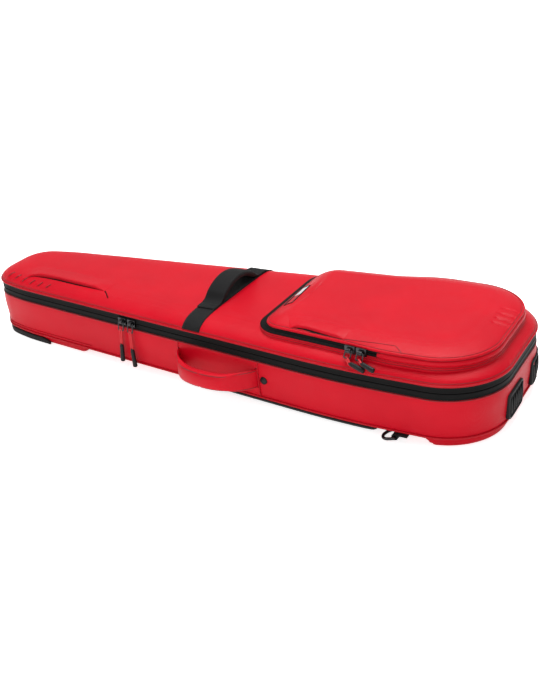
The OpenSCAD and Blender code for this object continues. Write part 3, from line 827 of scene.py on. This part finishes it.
def footPlate(name, side):
    # rounded plate that follows the wall
    half, tall = wideFoot["half"], (wideFoot["high"] - wideFoot["low"]) / 2
    middle, power = (wideFoot["low"] + wideFoot["high"]) / 2, 2 * half / wideFoot["cornerRadius"] / 2
    rows = []
    for out, drawIn in wideFoot["levels"]:
        shape = []
        for a in roundTurns(72):
            c, s = math.cos(a), math.sin(a)
            u = (half - drawIn) * np.sign(c) * abs(c) ** (2 / power)
            v = (tall - drawIn) * np.sign(s) * abs(s) ** (2 / power)
            shape.append(footPoint(side, u, out, middle + v))
        rows.append(shape)
    return skin(name, rows, rubber, caps=True, sharp=35)


def buildWideFeet():
    low, high, reach = wideFoot["low"], wideFoot["high"], wideFoot["half"] - wideFoot["ribMargin"]
    for side, name, node in ((-1, "Near", "wide_end_foot_near"), (1, "Far", "wide_end_foot_far")):
        settle(footPlate("wideFootPlate" + name, side), "base", "black_rubber", node)
        path = [footPoint(side, u, 3.0, (low + high) / 2) for u in np.linspace(-reach, reach, 40)]
        pitch = 2 * reach / (wideFoot["ribs"] - 1) - 0.01
        size = (wideFoot["ribProud"], high - low - 8, wideFoot["ribThick"])
        settle(setAlong("wideFootRibs" + name, [path], pitch, size, rubber, 2), "base", "black_rubber")


print("pads and feet")
buildPads()
buildBumper()
buildWideFeet()


strap = {"low": -28, "high": 1, "thick": 1.5, "columns": 13}
grab = {"half": 50, "rise": 20, "middle": 6, "nearEnd": -65, "farEnd": 87, "thick": 4.4}


def lidCrossing(x, count=150):
    # the lid's section at one station, from near rim to far rim, as [y, z] with [y, z] normals
    half = caseHalfWidth(x)
    stretchOf = 1 / math.cos(flankTurn)
    rise = lidProfile[1:]
    nearSide = [(-half + inset * stretchOf, z) for inset, z in rise]
    across = [(y, 0) for y in np.linspace(nearSide[-1][0] + 3, -nearSide[-1][0] - 3, 60)]
    path = np.array(nearSide + across + [(-y, z) for y, z in nearSide[::-1]])
    inner = np.abs(path[:, 0]) < half - 16
    path[inner, 1] = lidHeight(x, path[inner, 0])
    path = evenly(path, count)
    ahead = unitRows(np.gradient(path, axis=0))
    return path, np.column_stack([-ahead[:, 1], ahead[:, 0]])


def atStation(x, path):
    return np.column_stack([np.full(len(path), x), path])


def buildStrap():
    top, under = [], []
    for x in np.linspace(strap["low"], strap["high"], strap["columns"]):
        path, out = lidCrossing(x)
        path, out = path[1:-1], out[1:-1]
        edge = min(x - strap["low"], strap["high"] - x)
        lift = strap["thick"] * (0.55 + 0.45 * min(1, edge / 1.5))
        top.append(atStation(x, path + out * lift))
        under.append(atStation(x, path - out * 0.6))
    rows = np.array(top + under[::-1]).transpose(1, 0, 2)
    piece = skin("lidStrap", rows, webbingAlong, caps=True, sharp=50)
    settle(piece, "lid", "black_webbing", "lid_strap")
    lines = []
    for x in (strap["low"] + 2.2, strap["high"] - 2.2):
        path, out = lidCrossing(x)
        lines.append(atStation(x, (path + out * (strap["thick"] + 0.1))[3:-3]))
    settle(stitches("lidStrapStitches", lines), "lid", "black_webbing")


def buildGrabHandle():
    middleX = (strap["low"] + strap["high"]) / 2
    ground = lidHeight(middleX, 0) + strap["thick"]
    radius = (grab["half"] ** 2 + grab["rise"] ** 2) / (2 * grab["rise"])

    def arch(y):
        return ground + grab["rise"] - radius + math.sqrt(max(0, radius ** 2 - (y - grab["middle"]) ** 2))

    def flat(y):
        return lidHeight(middleX, y) + strap["thick"] + 1.1
    heights = [(y, flat(y)) for y in (grab["nearEnd"], -60, -55, -51)] + [(-46, flat(-46) + 1.2)]
    heights += [(y, arch(y)) for y in (-38, -30, -19, -6, 6, 18, 31, 42, 49)]
    heights += [(57, flat(57) + 1.2)] + [(y, flat(y)) for y in (64, 71, 79, grab["farEnd"])]
    path = smoothCurve([(middleX, y, z) for y, z in heights], 130)

    def section(i, share):
        away = abs(path[i, 1] - grab["middle"])
        full = 1 - smoothStep(away, 38, 51)
        wide = 14.2 + 0.8 * full
        thick = 0.75 + (grab["thick"] - 0.75) * full ** 0.8
        tip = min(1, (len(path) - 1 - i) / 2, i / 2)
        return roundedBox(wide - 0.6 * (1 - tip), thick * (0.5 + 0.5 * tip), 7 - 3.2 * full, 40)
    handle = sweep("grabHandle", path, section, padFabric, up=(0, 0, 1), sharp=45)
    settle(handle, "lid", "black_webbing", "grab_handle", "strap_patches")
    seams = []
    for side in (-1, 1):
        seams.append(np.array([(x + side * 12.6, y, z + section(i, 0)[:, 1].max() * 0.82)
                               for i, (x, y, z) in enumerate(path) if abs(y - grab["middle"]) < 44]))
    settle(stitches("grabHandleStitches", seams, pitch=3.6), "lid", "black_webbing")
    boxes = []
    left, right = strap["low"] + 4, strap["high"] - 4
    for low, high in ((grab["nearEnd"] + 2, -52), (66, grab["farEnd"] - 2)):
        corners = [(left, low), (right, low), (right, high), (left, high)]
        for line in (corners + corners[:1], corners[::2], corners[1::2]):
            line = evenly(line, 60)
            boxes.append(np.array([(x, y, lidHeight(x, y) + strap["thick"] + 2.0) for x, y in line]))
    settle(stitches("grabPatchStitches", boxes, pitch=3.0, thick=0.5), "lid", "black_webbing")


print("strap and grab handle")
buildStrap()
buildGrabHandle()


hinge = {"low": -298, "high": 178, "foot": 60.5, "head": 90.5, "proud": 1.1,
         "fold": ((0, 0.12, 0.070), (0, 0.12, 0.082))}
wallShape = {"heights": [12, 24, 38, 50, 60, 66.8, 68, 84, 85, 87.4, 91, 94.8],
             "out": [-1.9, -1.2, -0.1, 0.5, 0.4, -0.4, -0.4, -0.4, -0.2, -0.3, -1.7, -4.6]}


def wallOut(z):
    # how far the side stands off the outline at a height
    return np.interp(z, wallShape["heights"], wallShape["out"])


def wallRows(span, heights, ease, lift, sunk):
    # strip on a flank: span and heights are low, high and count, and lift takes the share of full thickness
    rows = []
    for s in np.linspace(*span):
        edge = min(1, (s - span[0]) / ease[0], (span[1] - s) / ease[0])
        outer, inner = [], []
        for z in np.linspace(*heights):
            rim = min(1, (z - heights[0]) / ease[1], (heights[1] - z) / ease[1])
            outer.append((s, wallOut(z) + lift(min(edge, rim)), z))
            inner.append((s, wallOut(z) - sunk, z))
        rows.append(outer + inner[::-1])
    return rows


def buildHinge():
    rows = wallRows((hinge["low"], hinge["high"], 90), (hinge["foot"], hinge["head"], 28), (2, 1.2),
                    lambda share: 0.1 + hinge["proud"] * (0.4 + 0.6 * share), 0.6)
    strip = skin("hingeStrip", onFlank(rows, far=True), padFabric, caps=True, sharp=50)
    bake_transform(strip)
    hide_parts("hinge_strip")
    for name, z, body in (("hingeStripStitches", hinge["foot"] + 2.4, "base"),
                          ("hingeStripUpperStitches", hinge["head"] - 2.4, "lid")):
        line = [(s, wallOut(z) + 1.25, z) for s in np.linspace(hinge["low"] + 3, hinge["high"] - 3, 80)]
        settle(stitches(name, [onFlank(line, far=True)]), body, "black_webbing")


print("hinge strip")
buildHinge()


handle = {"middle": 28.5, "half": 64.5, "z": 43, "bow": 36, "foot": 1.5, "panel": 66.5,
          "panelHeights": (16, 66), "panelProud": 0.8, "slitHalf": 15, "slitWide": 1.9}


def handleCurve(s):
    return handle["foot"] + handle["bow"] * np.maximum(0, 1 - np.abs(s / handle["half"]) ** 2.4) ** 0.75


def handleSection(away):
    # padded in the middle, flat towards its ends
    swell = 1 - smoothStep(away, 0.42, 0.86)
    return roundedBox(1.5 + 5.4 * swell, 13.6 - 2.4 * swell, 5 - 2.2 * swell, 36)


def buildSideHandle():
    dense = handle["half"] * np.sin(np.linspace(-math.pi / 2, math.pi / 2, 600))
    line = evenly(np.column_stack([dense, handleCurve(dense)]), 121)
    for part, first, last, sign in (("A", 0, 61, -1), ("B", 60, 121, 1)):
        own = line[first:last]
        path = onFlank([(s + handle["middle"], out, handle["z"]) for s, out in own])
        shapes = [handleSection(share) for share in np.abs(own[:, 0]) / handle["half"]]
        grip = sweep("sideHandle" + part, path, lambda i, share: shapes[i], redFabric, sharp=50)
        side, above = pathFrames(path, (0, 0, 1), False)
        deep, tall = np.max(shapes, axis=1).T[:, :, None]
        # dark lines along the grip's upper and lower edges: painted crease shade
        edges = [tube("seam", path + side * deep * 0.62 + above * tall * lift, 0.75, redCreaseShade, sides=6)
                 for lift in (0.86, -0.86)]
        grip = join("sideHandle" + part, [grip] + edges)
        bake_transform(grip)
        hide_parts("side_handle", *(("handle_panel", "handle_anchors") if sign < 0 else ()))


def buildHandlePanel():
    middle, half, z, tall = handle["middle"], handle["panel"], handle["z"], handle["slitHalf"]
    rows = wallRows((middle - half, middle + half, 70), (*handle["panelHeights"], 24), (1.5, 1.5),
                    lambda share: 0.2 + handle["panelProud"] * (0.3 + 0.7 * share ** 0.5), 0.8)
    settle(skin("handlePanel", onFlank(rows), redFabric, caps=True, sharp=55), "base", "red_fabric")
    seams = []
    for s in (middle - half, middle + half):
        path = [(s, wallOut(height) + 0.9, height) for height in np.linspace(15, 66.4, 40)]
        seams.append(tube("seam", onFlank(path), 1.0, redPiping))
    settle(join("handlePanelSeams", seams), "base", "red_piping")
    # near-black slots where the grip's ends go into the panel: painted shade in the openings
    slits = []
    for sign in (-1, 1):
        centre = middle + sign * (handle["half"] + 0.3)
        rows = []
        for height in np.linspace(z - tall, z + tall, 30):
            wide = handle["slitWide"] * max(0.05, 1 - ((height - z) / tall) ** 4) ** 0.5
            rows.append([(centre + wide * math.cos(a), wallOut(height) + 1.2 + 0.35 * math.sin(a), height)
                         for a in roundTurns(12)])
        slits.append(skin("slit", onFlank(rows), darkGap, caps=True))
    settle(join("handleSlits", slits), "base", "black_webbing")


# the dome's radius and height from its foot to its top
snap = {"at": 103, "z": 41, "dome": [(5.4, -0.6), (5.4, 0.5), (5.1, 1.1), (4.6, 1.3), (4.4, 1.1), (4.1, 1.2),
                                     (3.2, 1.9), (2, 2.3), (0.9, 2.4)]}


def buildSnap():
    place = np.array([snap["at"], float(wallOut(snap["z"])), snap["z"]])
    rows = [[(r * math.cos(a), out, r * math.sin(a)) for a in roundTurns(40)] for r, out in snap["dome"]]
    stud = skin("snapStud", onFlank(np.array(rows) + place), plastic, caps=True, sharp=50)
    settle(stud, "base", "black_plastic", "snap_stud")


print("side handle")
buildSideHandle()
buildHandlePanel()
buildSnap()


pocket = {"rim": [(1.6, 111.0), (0.1, 111.6), (-0.5, 112.9), (0.2, 114.2), (1.8, 114.7), (3.0, 114.6),
                  (4.4, 115.3), (8, 116.7), (14, 118.3), (20, 119.6), (27, 120.5)],
          "inner": [(4, 111.2), (6, 112.8), (12, 114.3), (20, 115.6), (27, 116.5)],
          "gusset": [(0.6, 95.6), (-0.4, 96.2), (-1.2, 97.0), (-1.4, 97.9), (-0.9, 98.8), (0.4, 99.3),
                     (-0.3, 100.0), (-0.6, 100.8), (-0.3, 101.6), (0.6, 102.1), (0, 102.8), (-0.3, 103.3),
                     (0.2, 103.88), (3, 103.88), (3, 95.6)],
          "rearBand": [(3.6, 0), (0.9, 0.1), (-0.2, 0.9), (-0.9, 2.2), (-1.1, 3.4), (-0.9, 4.8), (-0.1, 6.2),
                       (1.2, 7.0), (3.6, 7.1)],
          "fold": ((0.275, 0, 0.12), (0.250, 0, 0.12)), "bandsMeet": (262, 268),
          "crown": 1.2, "lean": (5.5, 6.0), "fall": (1.6, 2.9), "leanFades": (190, 262), "capRows": 26,
          "ripple": 0.3,
          "grooves": ((38, 0), (23, 0.6), (9, 1), (-5, 0.9)), "grooveAt": 366, "grooveDeep": 2.1}


def leaned(inset, z):
    # the front of the pocket slopes: the zip band lies back, most of all along the narrow edge
    facing = np.maximum(0, -pocketLine["normals"][:, 0]) ** 2
    front = 1 - smoothStep(pocketLine["points"][:, 0], *pocket["leanFades"])
    share = np.clip((z - levels["pocketBand"]) / 7.6, 0, 1) * np.clip(1 - inset / 45, 0, 1)
    lean = (pocket["lean"][0] + pocket["lean"][1] * facing) * front * share
    fall = (pocket["fall"][0] + pocket["fall"][1] * facing) * front * share
    return ring(pocketLine, inset + lean, z - fall)


def pocketShape(rows, insets):
    shaped = []
    for row, inset in zip(rows, insets):
        row = row.copy()
        x, y = row[:, 0], row[:, 1]
        row[:, 2] += pocket["crown"] * (1 - np.exp(-np.maximum(inset - 25, 0) / 30))
        row[:, 2] += pocket["ripple"] * ripple(x, y, 17) * smoothStep(inset, 3, 22)
        for middle, amount in pocket["grooves"]:
            band = np.exp(-((y - middle - (x - 375) * 0.12) / 2.6) ** 2)
            low = pocket["grooveAt"]
            reach = smoothStep(x, low, low + 8)
            reach = reach * (1 - smoothStep(inset, 3.5, 3.0)) * smoothStep(inset, 3.4, 6)
            row[:, 2] -= pocket["grooveDeep"] * (0.6 + 0.4 * amount) * band * reach
        shaped.append(row)
    return shaped


def foldWithFlap(thing):
    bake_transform(thing)


def buildPocketTop():
    rim = smoothCurve(pocket["rim"], 44)
    outer = pocketShape(*domeRows(pocketLine, rim, pocketSpine, pocket["capRows"], leaned))
    inner = domeRows(pocketLine, pocket["inner"], pocketSpine, 4, leaned)[0]
    kinds = [0] * (len(outer) - 1) + [1] * (len(inner) + 1)
    top = skin("pocketTop", outer[::-1] + inner, [redFabric, liningFabric], rowMaterials=kinds)
    foldWithFlap(top)
    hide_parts("pocket_flap", "pocket_rear")
    return top


def partBand(name, shape, mask, material, body, slot, *nodes, bulge=0.0):
    # closed section carried round part of the pocket
    swell = bulge * smoothStep(pocketLine["points"][:, 0], 250, 285)
    columns = [stretch(leaned(inset - swell * (inset < 2), z), mask) for inset, z in shape]
    rows = np.array(columns).transpose(1, 0, 2)
    settle(skin(name, rows, material, caps=True, sharp=50), body, slot, *nodes)


def buildPocketSides():
    x, (rearFrom, frontTo) = pocketLine["points"][:, 0], pocket["bandsMeet"]
    front, rear = x < frontTo, x > rearFrom
    low, part, rim = levels["pocketBand"], levels["pocketPart"], levels["pocketRim"]
    gap = zipBand["gap"]
    lower = [(3, low), (0.2, low), (-0.2, low + 0.4), (-0.2, low + 2.4), (0.3, part - 0.5), (0.9, part - gap),
             (3, part - gap)]
    upper = [(4, rim), (0.4, rim), (-0.1, rim - 0.4), (-0.2, rim - 2.2), (0.3, part + 0.5), (0.9, part + gap),
             (4, part + gap)]
    partBand("pocketLowerTape", lower, front, zipTape, "lid", "zip_tape", "pocket_lower_tape")
    partBand("pocketUpperTape", upper, front, zipTape, "pocket_flap", "zip_tape", "pocket_upper_tape")
    for name, z, body in (("pocketLowerCoil", part - 0.75, "lid"),
                          ("pocketUpperCoil", part + 0.75, "pocket_flap")):
        path = stretch(leaned(3.2, z), front)
        settle(setAlong(name, [path], 2.4, (1.8, 1.2, 1.2), plastic), body, "black_plastic")
    band = [(inset, low + rise) for inset, rise in pocket["rearBand"]]
    partBand("pocketRearBand", band, rear, redFabric, "lid", "red_fabric", bulge=1.0)
    gusset = skin("pocketGusset", rings(pocketLine, pocket["gusset"]), redFabric, through=True, sharp=40)
    settle(gusset, "lid", "red_fabric", "pocket_gusset")


def buildPocketSeams():
    # fine dark lines of painted crease shade either side of the roll round the pocket's top, and round its
    # foot and the lid's rim
    for name, inset, z, radius in (("pocketSeamHigh", 3.0, 114.75, 0.42),
                                   ("pocketSeamLow", 0.55, 111.35, 0.4)):
        line = leaned(inset, z)
        line[:, 2] += pocket["ripple"] * 0.1
        foldWithFlap(tube(name, line, radius, redCreaseShade, closed=True, sides=6))
    for name, line, inset, z, radius in (("gussetSeamHigh", pocketLine, 0.5, 102.3, 0.4),
                                         ("gussetSeamLow", pocketLine, 0.1, 99.3, 0.4),
                                         ("lidRimSeam", medium, 1.2, 89.2, 0.35)):
        edgePiping(name, line, inset, z, radius, "lid", material=redCreaseShade, slot="red_fabric", sides=6)


def buildPocketFloor():
    # dark lining of the lid inside the pocket
    rows = domeRows(pocketLine, [(3.2, 97), (3.2, 102.2), (8, 102.0)], pocketSpine, 6)[0]
    settle(skin("pocketLining", rows, liningFabric), "lid", "plush_lining")


def surfaceTree(thing):
    work = bmesh.new()
    work.from_mesh(thing.data)
    tree = BVHTree.FromBMesh(work)
    work.free()
    return tree


def drop(tree, points):
    # heights of a surface straight below points, in millimetres
    heights = []
    for x, y in points:
        hit = tree.ray_cast(Vector((x * mm, y * mm, 0.3)), Vector((0, 0, -1)))[0]
        hit = hit or tree.find_nearest(Vector((x * mm, y * mm, 0.11)))[0]
        heights.append(hit.z / mm)
    return np.array(heights)


def raisedEdge(name, points, tree, height, fade, gap):
    # layer of cloth that ends in an open lip: it stands up along the path and dies away inwards
    path = smoothCurve(points, 110)
    ahead = unitRows(np.gradient(path, axis=0))
    inner = np.column_stack([-ahead[:, 1], ahead[:, 0]])
    share = np.linspace(0, 1, len(path))
    rise = height * np.minimum(1, np.sin(math.pi * share) / 0.45) ** 0.8
    columns = []
    for across, lift in ((-0.2, -0.25), (-0.35, 0.45), (0.0, 0.88), (0.7, 1), (2, 0.98), (0.22 * fade, 0.78),
                         (0.42 * fade, 0.48), (0.66 * fade, 0.2), (0.86 * fade, 0.05), (fade, -0.15)):
        flat = path + inner * across
        columns.append(np.column_stack([flat, drop(tree, flat) + rise * lift + 0.05]))
    rows = np.array(columns).transpose(1, 0, 2)
    lip = skin(name, rows, redFabric, around=False, sharp=70)
    # near-black strip under the lip's edge: the black of the hidden zip together with painted shadow cast by
    # the lip
    opened = np.maximum(0.03, np.sin(math.pi * share) ** 0.6) * gap
    strips = []
    for part in (0, 0.5, 1):
        flat = path - inner * (opened * part - 0.4)[:, None]
        strips.append(np.column_stack([flat, drop(tree, flat) + 0.14 - 0.12 * part]))
    dark = skin(name + "Gap", np.array(strips).transpose(1, 0, 2), darkGap, around=False)
    return lip, dark


# dark line lying on a surface, by default in painted crease shade
def seamOn(name, points, tree, radius, material=redCreaseShade, lift=0.1):
    path = evenly(points, 60)
    line = np.column_stack([path, drop(tree, path) + lift])
    return tube(name, line, radius, material, sides=6)


print("pocket")
pocketTop = buildPocketTop()
buildPocketSides()
buildPocketSeams()
buildPocketFloor()


# the last numbers of a lip are its height, how far it fades inwards and how wide the slit gapes
slits = {"lid": [(-341, -60), (-334, -53.5), (-323, -49.5), (-284, -49.5), (-240, -54), (-188, -60)],
         "lidChamfer": [(-188, -60), (-180, -67), (-172, -75)],
         "pocket": [(134, -99.5), (140, -97), (150, -96.6), (160, -97), (186, -101), (213, -105)],
         "pocketSeam": [(213, -105), (247, -106.5), (283, -106), (292, -113), (295, -116.5)],
         "lidLip": (4.2, 34, 3.6), "pocketLip": (3.0, 26, 3.2)}
label = {"corners": [(97, -42), (107, -38), (102, 26), (92.5, 22.4)], "plateFrom": 0.5}


def buildSlits():
    lidTree, topTree = surfaceTree(lidShell), surfaceTree(pocketTop)
    # each slit gets a raised lip and a near-black gap strip: the hidden zip's black together with painted
    # shadow of the lip
    lip, dark = raisedEdge("lidSlit", slits["lid"], lidTree, *slits["lidLip"])
    settle(lip, "lid", "red_fabric")
    settle(dark, "lid", "black_webbing")
    # near-black line along the slit's chamfered end: painted shade in the closed end of the opening
    settle(seamOn("lidSlitEnd", slits["lidChamfer"], lidTree, 0.9, darkGap, -0.1), "lid", "black_webbing")
    lip, dark = raisedEdge("pocketSlit", slits["pocket"], topTree, *slits["pocketLip"])
    settle(lip, "pocket_flap", "red_fabric")
    settle(dark, "pocket_flap", "black_webbing")
    # dark line running on from the pocket slit: painted crease shade
    foldWithFlap(seamOn("pocketSeam", slits["pocketSeam"][:3], topTree, 0.45))
    settle(seamOn("pocketSeamEnd", slits["pocketSeam"][2:], topTree, 0.45), "lid", "red_fabric")


def inPatch(corners, u, v):
    a, b, c, d = (np.array(p, float) for p in corners)
    return (a * (1 - u) + b * u) * (1 - v) + (d * (1 - u) + c * u) * v


def patchOn(name, corners, tree, low, high, material, lift, thick):
    # thin plate lying on a surface between two shares of a four-cornered patch
    rows = []
    for v in np.linspace(low[1], high[1], 24):
        flat = np.array([inPatch(corners, u, v) for u in np.linspace(low[0], high[0], 8)])
        z = drop(tree, flat)
        over = np.column_stack([flat, z + lift + thick])
        under = np.column_stack([flat, z + lift - 0.4])
        rows.append(np.vstack([over, under[::-1]]))
    return skin(name, np.array(rows), material, caps=True, sharp=40)


def buildLabel():
    tree = surfaceTree(pocketTop)
    corners = label["corners"]
    outline = [inPatch(corners, u, v) for u, v in ((0, 0), (1, 0), (1, 1), (0, 1), (0, 0))]
    rim = evenly(np.array(outline), 160)
    path = np.column_stack([rim, drop(tree, rim) + 0.35])
    border = sweep("labelFrame", path[:-1], roundedBox(0.75, 0.6, 3, 12), plastic, closed=True, sharp=60)
    settle(border, "pocket_flap", "black_plastic", "label_frame")
    plate = patchOn("labelPlate", corners, tree, (0.1, label["plateFrom"]), (0.9, 0.985), silver, 0.1, 0.45)
    settle(plate, "pocket_flap", "silver_plate", "label_plate")
    nearTo = (0.9, label["plateFrom"] - 0.01)
    near = patchOn("labelNear", corners, tree, (0.1, 0.02), nearTo, redPiping, 0.1, 0.2)
    settle(near, "pocket_flap", "red_piping")


ribs = {"at": [(-374, -52), (-357.5, -56), (-341, -60), (-324, -63.5), (-307, -66), (-290, -67.5)],
        "long": (15, 14, 13, 12, 11, 10), "wide": 2.6, "height": 2.4}


def buildRibs():
    # short raised welts across the lid's shoulder, fading along the case
    tree = surfaceTree(lidShell)
    parts = []
    for number, ((x, y), long) in enumerate(zip(ribs["at"], ribs["long"])):
        rows = []
        for share in np.linspace(-1, 1, 13):
            across = np.linspace(-1, 1, 9)
            flat = np.column_stack([x - 3 * share + across * ribs["wide"],
                                    y - share * long * 0.42 + across * 0.8])
            rise = ribs["height"] * (1 - share ** 2) * (1 - across ** 2) ** 0.8 * (1 - 0.08 * number)
            rows.append(np.column_stack([flat, drop(tree, flat) - 0.25 + rise]))
        parts.append(skin(f"rib{number}", np.array(rows), redFabric, around=False))
        # a dark line along one side of each welt: painted shade of its crease
        crease = np.array(rows)[1:-1, -1, :2]
        parts.append(seamOn(f"crease{number}", crease, tree, 1.0, redCreaseShade, 0.1))
    settle(join("lidRibs", parts), "lid", "red_fabric")


print("slits and label")
buildSlits()
buildRibs()
buildLabel()


pull = {"halfBail": 4.4, "wire": 0.85, "strand": 1.15, "grip": 3.4, "bar": -4.5,
        "main": {"at": (-137, -120), "foot": ((0, -6.5, -12.3), (0, -6.5, -12.3)),
                 "top": ((-2, -7, -33), (0, -7, -37)), "end": ((-4, -7, -62), (2, -7, -66))},
        "pocket": {"at": (-13, 3), "foot": ((-1, -8, -8.5), (0, -8, -8.5)),
                   "top": ((6, -14.5, -11), (7, -15.5, -7)), "end": ((29, -18.5, -15), (27, -19.5, -11))}}


def pullPlace(kind, i):
    start = pull[kind]["at"][i]
    if kind == "main":
        return lambda q: onFlank(np.asarray(q) * (1, -1, 1) + (start, -0.6, 76))
    return lambda q: onPocketFlank(np.asarray(q) * (1, -1, 1) + (start, 1, 107.6))


def buildPull(kind, i):
    place, number = pullPlace(kind, i), i + 1
    foot, top, end = (np.array(pull[kind][key][i], float) for key in ("foot", "top", "end"))
    body, half = f"{kind}_pull_{number}", pull["halfBail"]
    bar = np.array((0, pull["bar"], 0))
    side = np.array((1, 0, 0))
    loop = [bar + side * x for x in (-2.5, 0, 2.5, half - 0.7)] + [bar + side * half + (foot - bar) * 0.07]
    loop += [bar + side * half + (foot - bar) * t for t in (0.3, 0.7, 0.93)]
    loop += [foot + side * x for x in (half - 0.7, 2.5, 0, -2.5, 0.7 - half)]
    loop += [bar - side * half + (foot - bar) * t for t in (0.93, 0.7, 0.3, 0.07)]
    loop.append(bar - side * (half - 0.7))
    wire = tube(body + "Bail", place(np.array(loop)), pull["wire"], gunmetal, closed=True, sides=10,
                up=(0.3, -0.9, 0.3))
    settle(wire, body, "gunmetal", f"{kind}_bail_{number}")
    axis = unitRows(top - foot)
    across = unitRows(np.cross(axis, (0, -1, 0.2)))
    over = pull["wire"] + pull["strand"]
    bend = [foot + across * over * math.cos(a) * 0.8 - axis * over * math.sin(a)
            for a in np.linspace(-0.3, math.pi + 0.3, 9)]
    path = [top + axis * 2 + across * 1.25] + [top * 0.5 + foot * 0.5 + across * 1.35] + bend
    path += [top * 0.5 + foot * 0.5 - across * 1.35, top + axis * 2 - across * 1.25]
    strands = tube(body + "Cord", place(smoothCurve(path, 60)), pull["strand"], redCord, sides=10,
                   up=(0.2, -0.9, 0.1))
    settle(strands, body, "red_cord", f"{kind}_cord_{number}")
    long = np.linalg.norm(end - top)
    lean = unitRows(end - top)
    wide = unitRows(np.cross(lean, (0, -1, 0.2)))
    deep = np.cross(lean, wide)
    rows = []
    for share in np.linspace(0, 1, 90):
        swell = 0.55 + 0.33 * smoothStep(share, 0, 0.16) + 0.12 * smoothStep(share, 0.3, 0.9)
        ribs = 0.045 * math.cos(share * long * 2 * math.pi / 2.6) * (0.14 < share < 0.62)
        close = min(1, math.sqrt(max(0.02, 1 - max(0, (share - 0.93) / 0.07) ** 2)))
        radius = pull["grip"] * (swell + ribs) * close
        middle = top + (end - top) * share
        rows.append([middle + radius * (wide * math.cos(a) + deep * math.sin(a) * 0.94)
                     for a in roundTurns(20)])
    grip = skin(body + "Grip", place(np.array(rows)), plastic, caps=True, sharp=60)
    settle(grip, body, "black_plastic", f"{kind}_grip_{number}")


print("pulls")
for pullKind in ("main", "pocket"):
    buildPull(pullKind, 0)
    buildPull(pullKind, 1)

neckStrap = {"low": -112, "high": -87, "middle": 40, "half": 17, "foot": 62.05, "top": 63.6, "sewn": 63.9}


def buildNeckStraps():
    low, high, half, sewn = (neckStrap[key] for key in ("low", "high", "half", "sewn"))
    parts = []
    for side in (-1, 1):
        middle = side * neckStrap["middle"]
        ys = np.linspace(middle - half, middle + half, 20)
        rows = []
        for x in np.linspace(low, high, 14):
            lift = 0.5 * math.sin(math.pi * (x - low) / (high - low))
            over = [(x, y, neckStrap["top"] + lift * 0.3 + 0.3 * math.sin(y * 0.5 + x * 0.2) * 0.3)
                    for y in ys]
            rows.append(over + [(x, y, neckStrap["foot"]) for y in ys[::-1]])
        parts.append(skin(f"strapSide{side}", np.array(rows), webbingAcross, caps=True, sharp=50))
        near, far = middle - half + 2, middle + half - 2
        box = [(low + 2, near, sewn), (high - 2, near, sewn), (high - 2, far, sewn), (low + 2, far, sewn)]
        parts.append(stitches(f"strapStitch{side}", [evenly(looped(box), 120)]))
    settle(join("neckStraps", parts), "base", "black_webbing", "neck_straps")


# looks of the parts that keep their own solids
finishes = {plush: ("cradle_floor", "violin_cradle", "neck_rest", "bow_tip_pockets"),
            webbingAlong: ("strap_tab_near", "strap_tab_far"),
            plastic: ("accessory_box", "bow_spinner_1", "bow_spinner_2"),
            gunmetal: ("d_ring_near", "d_ring_far", "main_slider_1", "main_slider_2", "pocket_slider_1",
                       "pocket_slider_2")}


def finishSolids():
    for finish, names in finishes.items():
        for name in names:
            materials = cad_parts[name].data.materials
            materials.clear()
            materials.append(finish)


print("neck straps and finishes")
buildNeckStraps()
finishSolids()

print("finish")
